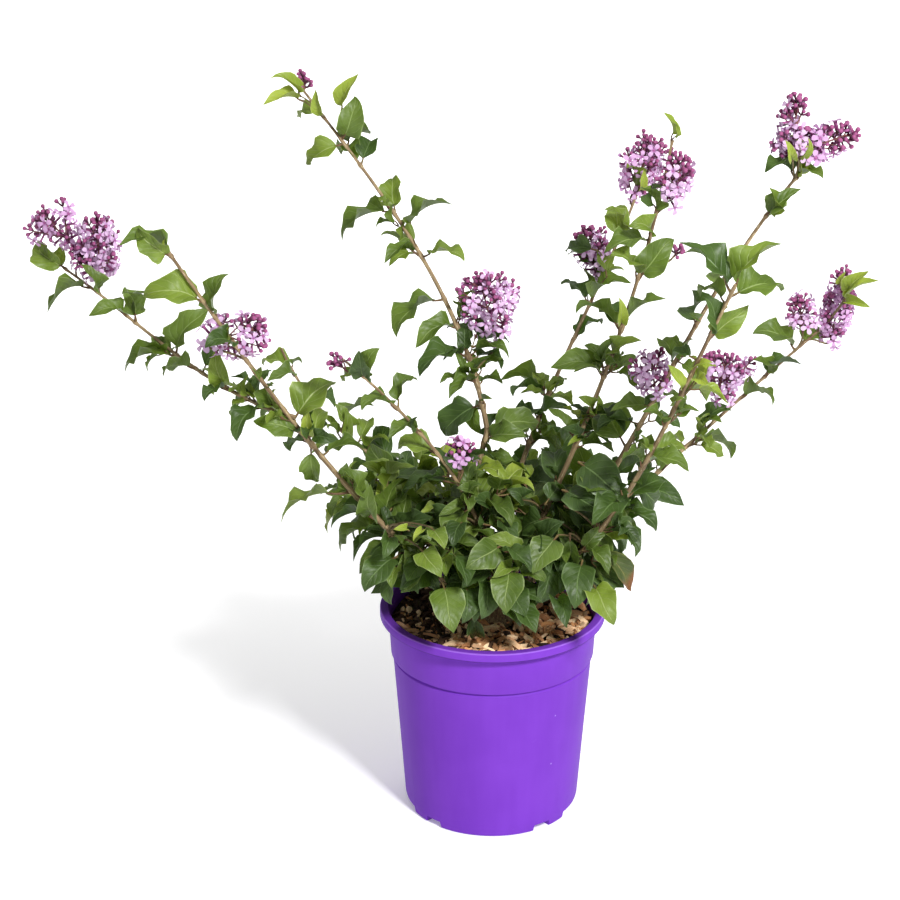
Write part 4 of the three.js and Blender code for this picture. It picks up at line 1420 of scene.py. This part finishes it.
# the stump: how much narrower it gets from its foot up, how its top rounds off, and its reliefs
baseShape = {"rings": 26, "segments": 56, "waist": 0.22, "shoulder": 0.99, "roundFrom": 0.7,
             "knuckles": (0.05, 0.035), "furrows": (0.018, 0.012)}
# how much thicker a cane is where leaves sit, and how far from them, in millimetres
swelling = {"share": 0.28, "reach": 2.6}


def swell(stem, places):
    # thickens a cane a little where its leaf pairs sit
    radii = stem.radii.copy()
    for place in places:
        radii *= 1 + swelling["share"] * np.exp(-((stem.reach - place) / (swelling["reach"] * mm)) ** 2)
    return Stem(stem.points, radii)


def buriedFoot(stem):
    # runs the foot of a cane on into what it grows from
    first = stem.points[0] - (stem.points[2] - stem.points[0]) * 1.2
    return Stem(np.vstack([first, stem.points]), np.concatenate([stem.radii[:1], stem.radii]))


def makeWoodyBase():
    # a stump that narrows upwards, with knuckles and furrows round it
    low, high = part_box("woody_base")
    knuckles, furrows = baseShape["knuckles"], baseShape["furrows"]
    rings = []
    for share in np.linspace(0, 1, baseShape["rings"]):
        narrower = baseShape["waist"] * min(1, share * 3)
        rounded = baseShape["shoulder"] * max(0, share - baseShape["roundFrom"]) ** 1.2
        wide = (high.x - low.x) / 2 * (1 - narrower - rounded)
        ring = []
        for turn in [math.tau * step / baseShape["segments"] for step in range(baseShape["segments"])]:
            knuckle = knuckles[0] * math.cos(5 * turn + 0.4) + knuckles[1] * math.cos(3 * turn + 4 * share)
            furrow = furrows[0] * math.sin(17 * turn + 3 * math.sin(6 * share))
            furrow += furrows[1] * math.sin(29 * turn - 5 * share)
            ring.append(polar(wide * (0.93 + knuckle + furrow), turn, low.z + (high.z - low.z) * share))
        rings.append(ring)
    mesh = shell("woodyBase_bark", rings)
    place = mesh.attributes.new("barkPlace", "FLOAT_VECTOR", "POINT")
    place.data.foreach_set("vector", np.array(rings).ravel())
    mesh.shade_smooth()
    mesh.materials.append(caneBark)
    return newObject("woodyBase_bark", mesh)


for name, stem in canes.items():
    piece = stemPiece(name + "_bark", [buriedFoot(swell(stem, swellings.get(name, [])))], stemShape, caneBark)
    keep(piece, "bark", name)
keep(makeWoodyBase(), "bark", "woody_base")
keep(stemPiece("twigs", sideTwigs + axilShoots, twigShape, twigBark), "bark")
say("bark is on")

# the first spray of leaves replaces all the leaf masses, and the first petals all the blossom heads
massNodes = sorted(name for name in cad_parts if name.startswith("leaves_"))
leafLibrary = shapeLibrary("leafKinds", [leafBlade(kind) for kind in range(len(leafKinds))])
for number, (name, placed) in enumerate(leafSprays.items()):
    piece = sprayPiece("leaves" + name.capitalize(), placed, leafLibrary, leafLook(name), number)
    keep(piece, "leaves", *(massNodes if name == "dark" else ()))
    say(f"{len(placed)} {name} leaves")
keep(stemPiece("petioles", petioles, thinShape, barkLook("petiole")), "leaves")

petals = shapeLibrary("petalKinds", [petalsShape(cup) for cup in petalCups])
flowerLibraries = {
    "petalsPale": petals,
    "petalsPink": petals,
    "flowerTubes": shapeLibrary("tubeKinds", [turnedShape("tube", tubeProfile, 6)]),
    "flowerBuds": shapeLibrary("budKinds", [turnedShape("bud", profile, 8) for profile in budProfiles]),
}
for name, placed in flowerSprays.items():
    piece = sprayPiece(name, placed, flowerLibraries[name], flowerLook(name))
    keep(piece, "blossom", *(sorted(headPlaces) if name == "petalsPale" else ()))
keep(stemPiece("blossomStalks", headStalks, thinShape, barkLook("stalk")), "blossom")
say("leaves and blossom are made")

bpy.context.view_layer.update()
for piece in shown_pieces():
    say(f"{piece.name}: {sum(len(face.vertices) - 2 for face in piece.data.polygons)} triangles")
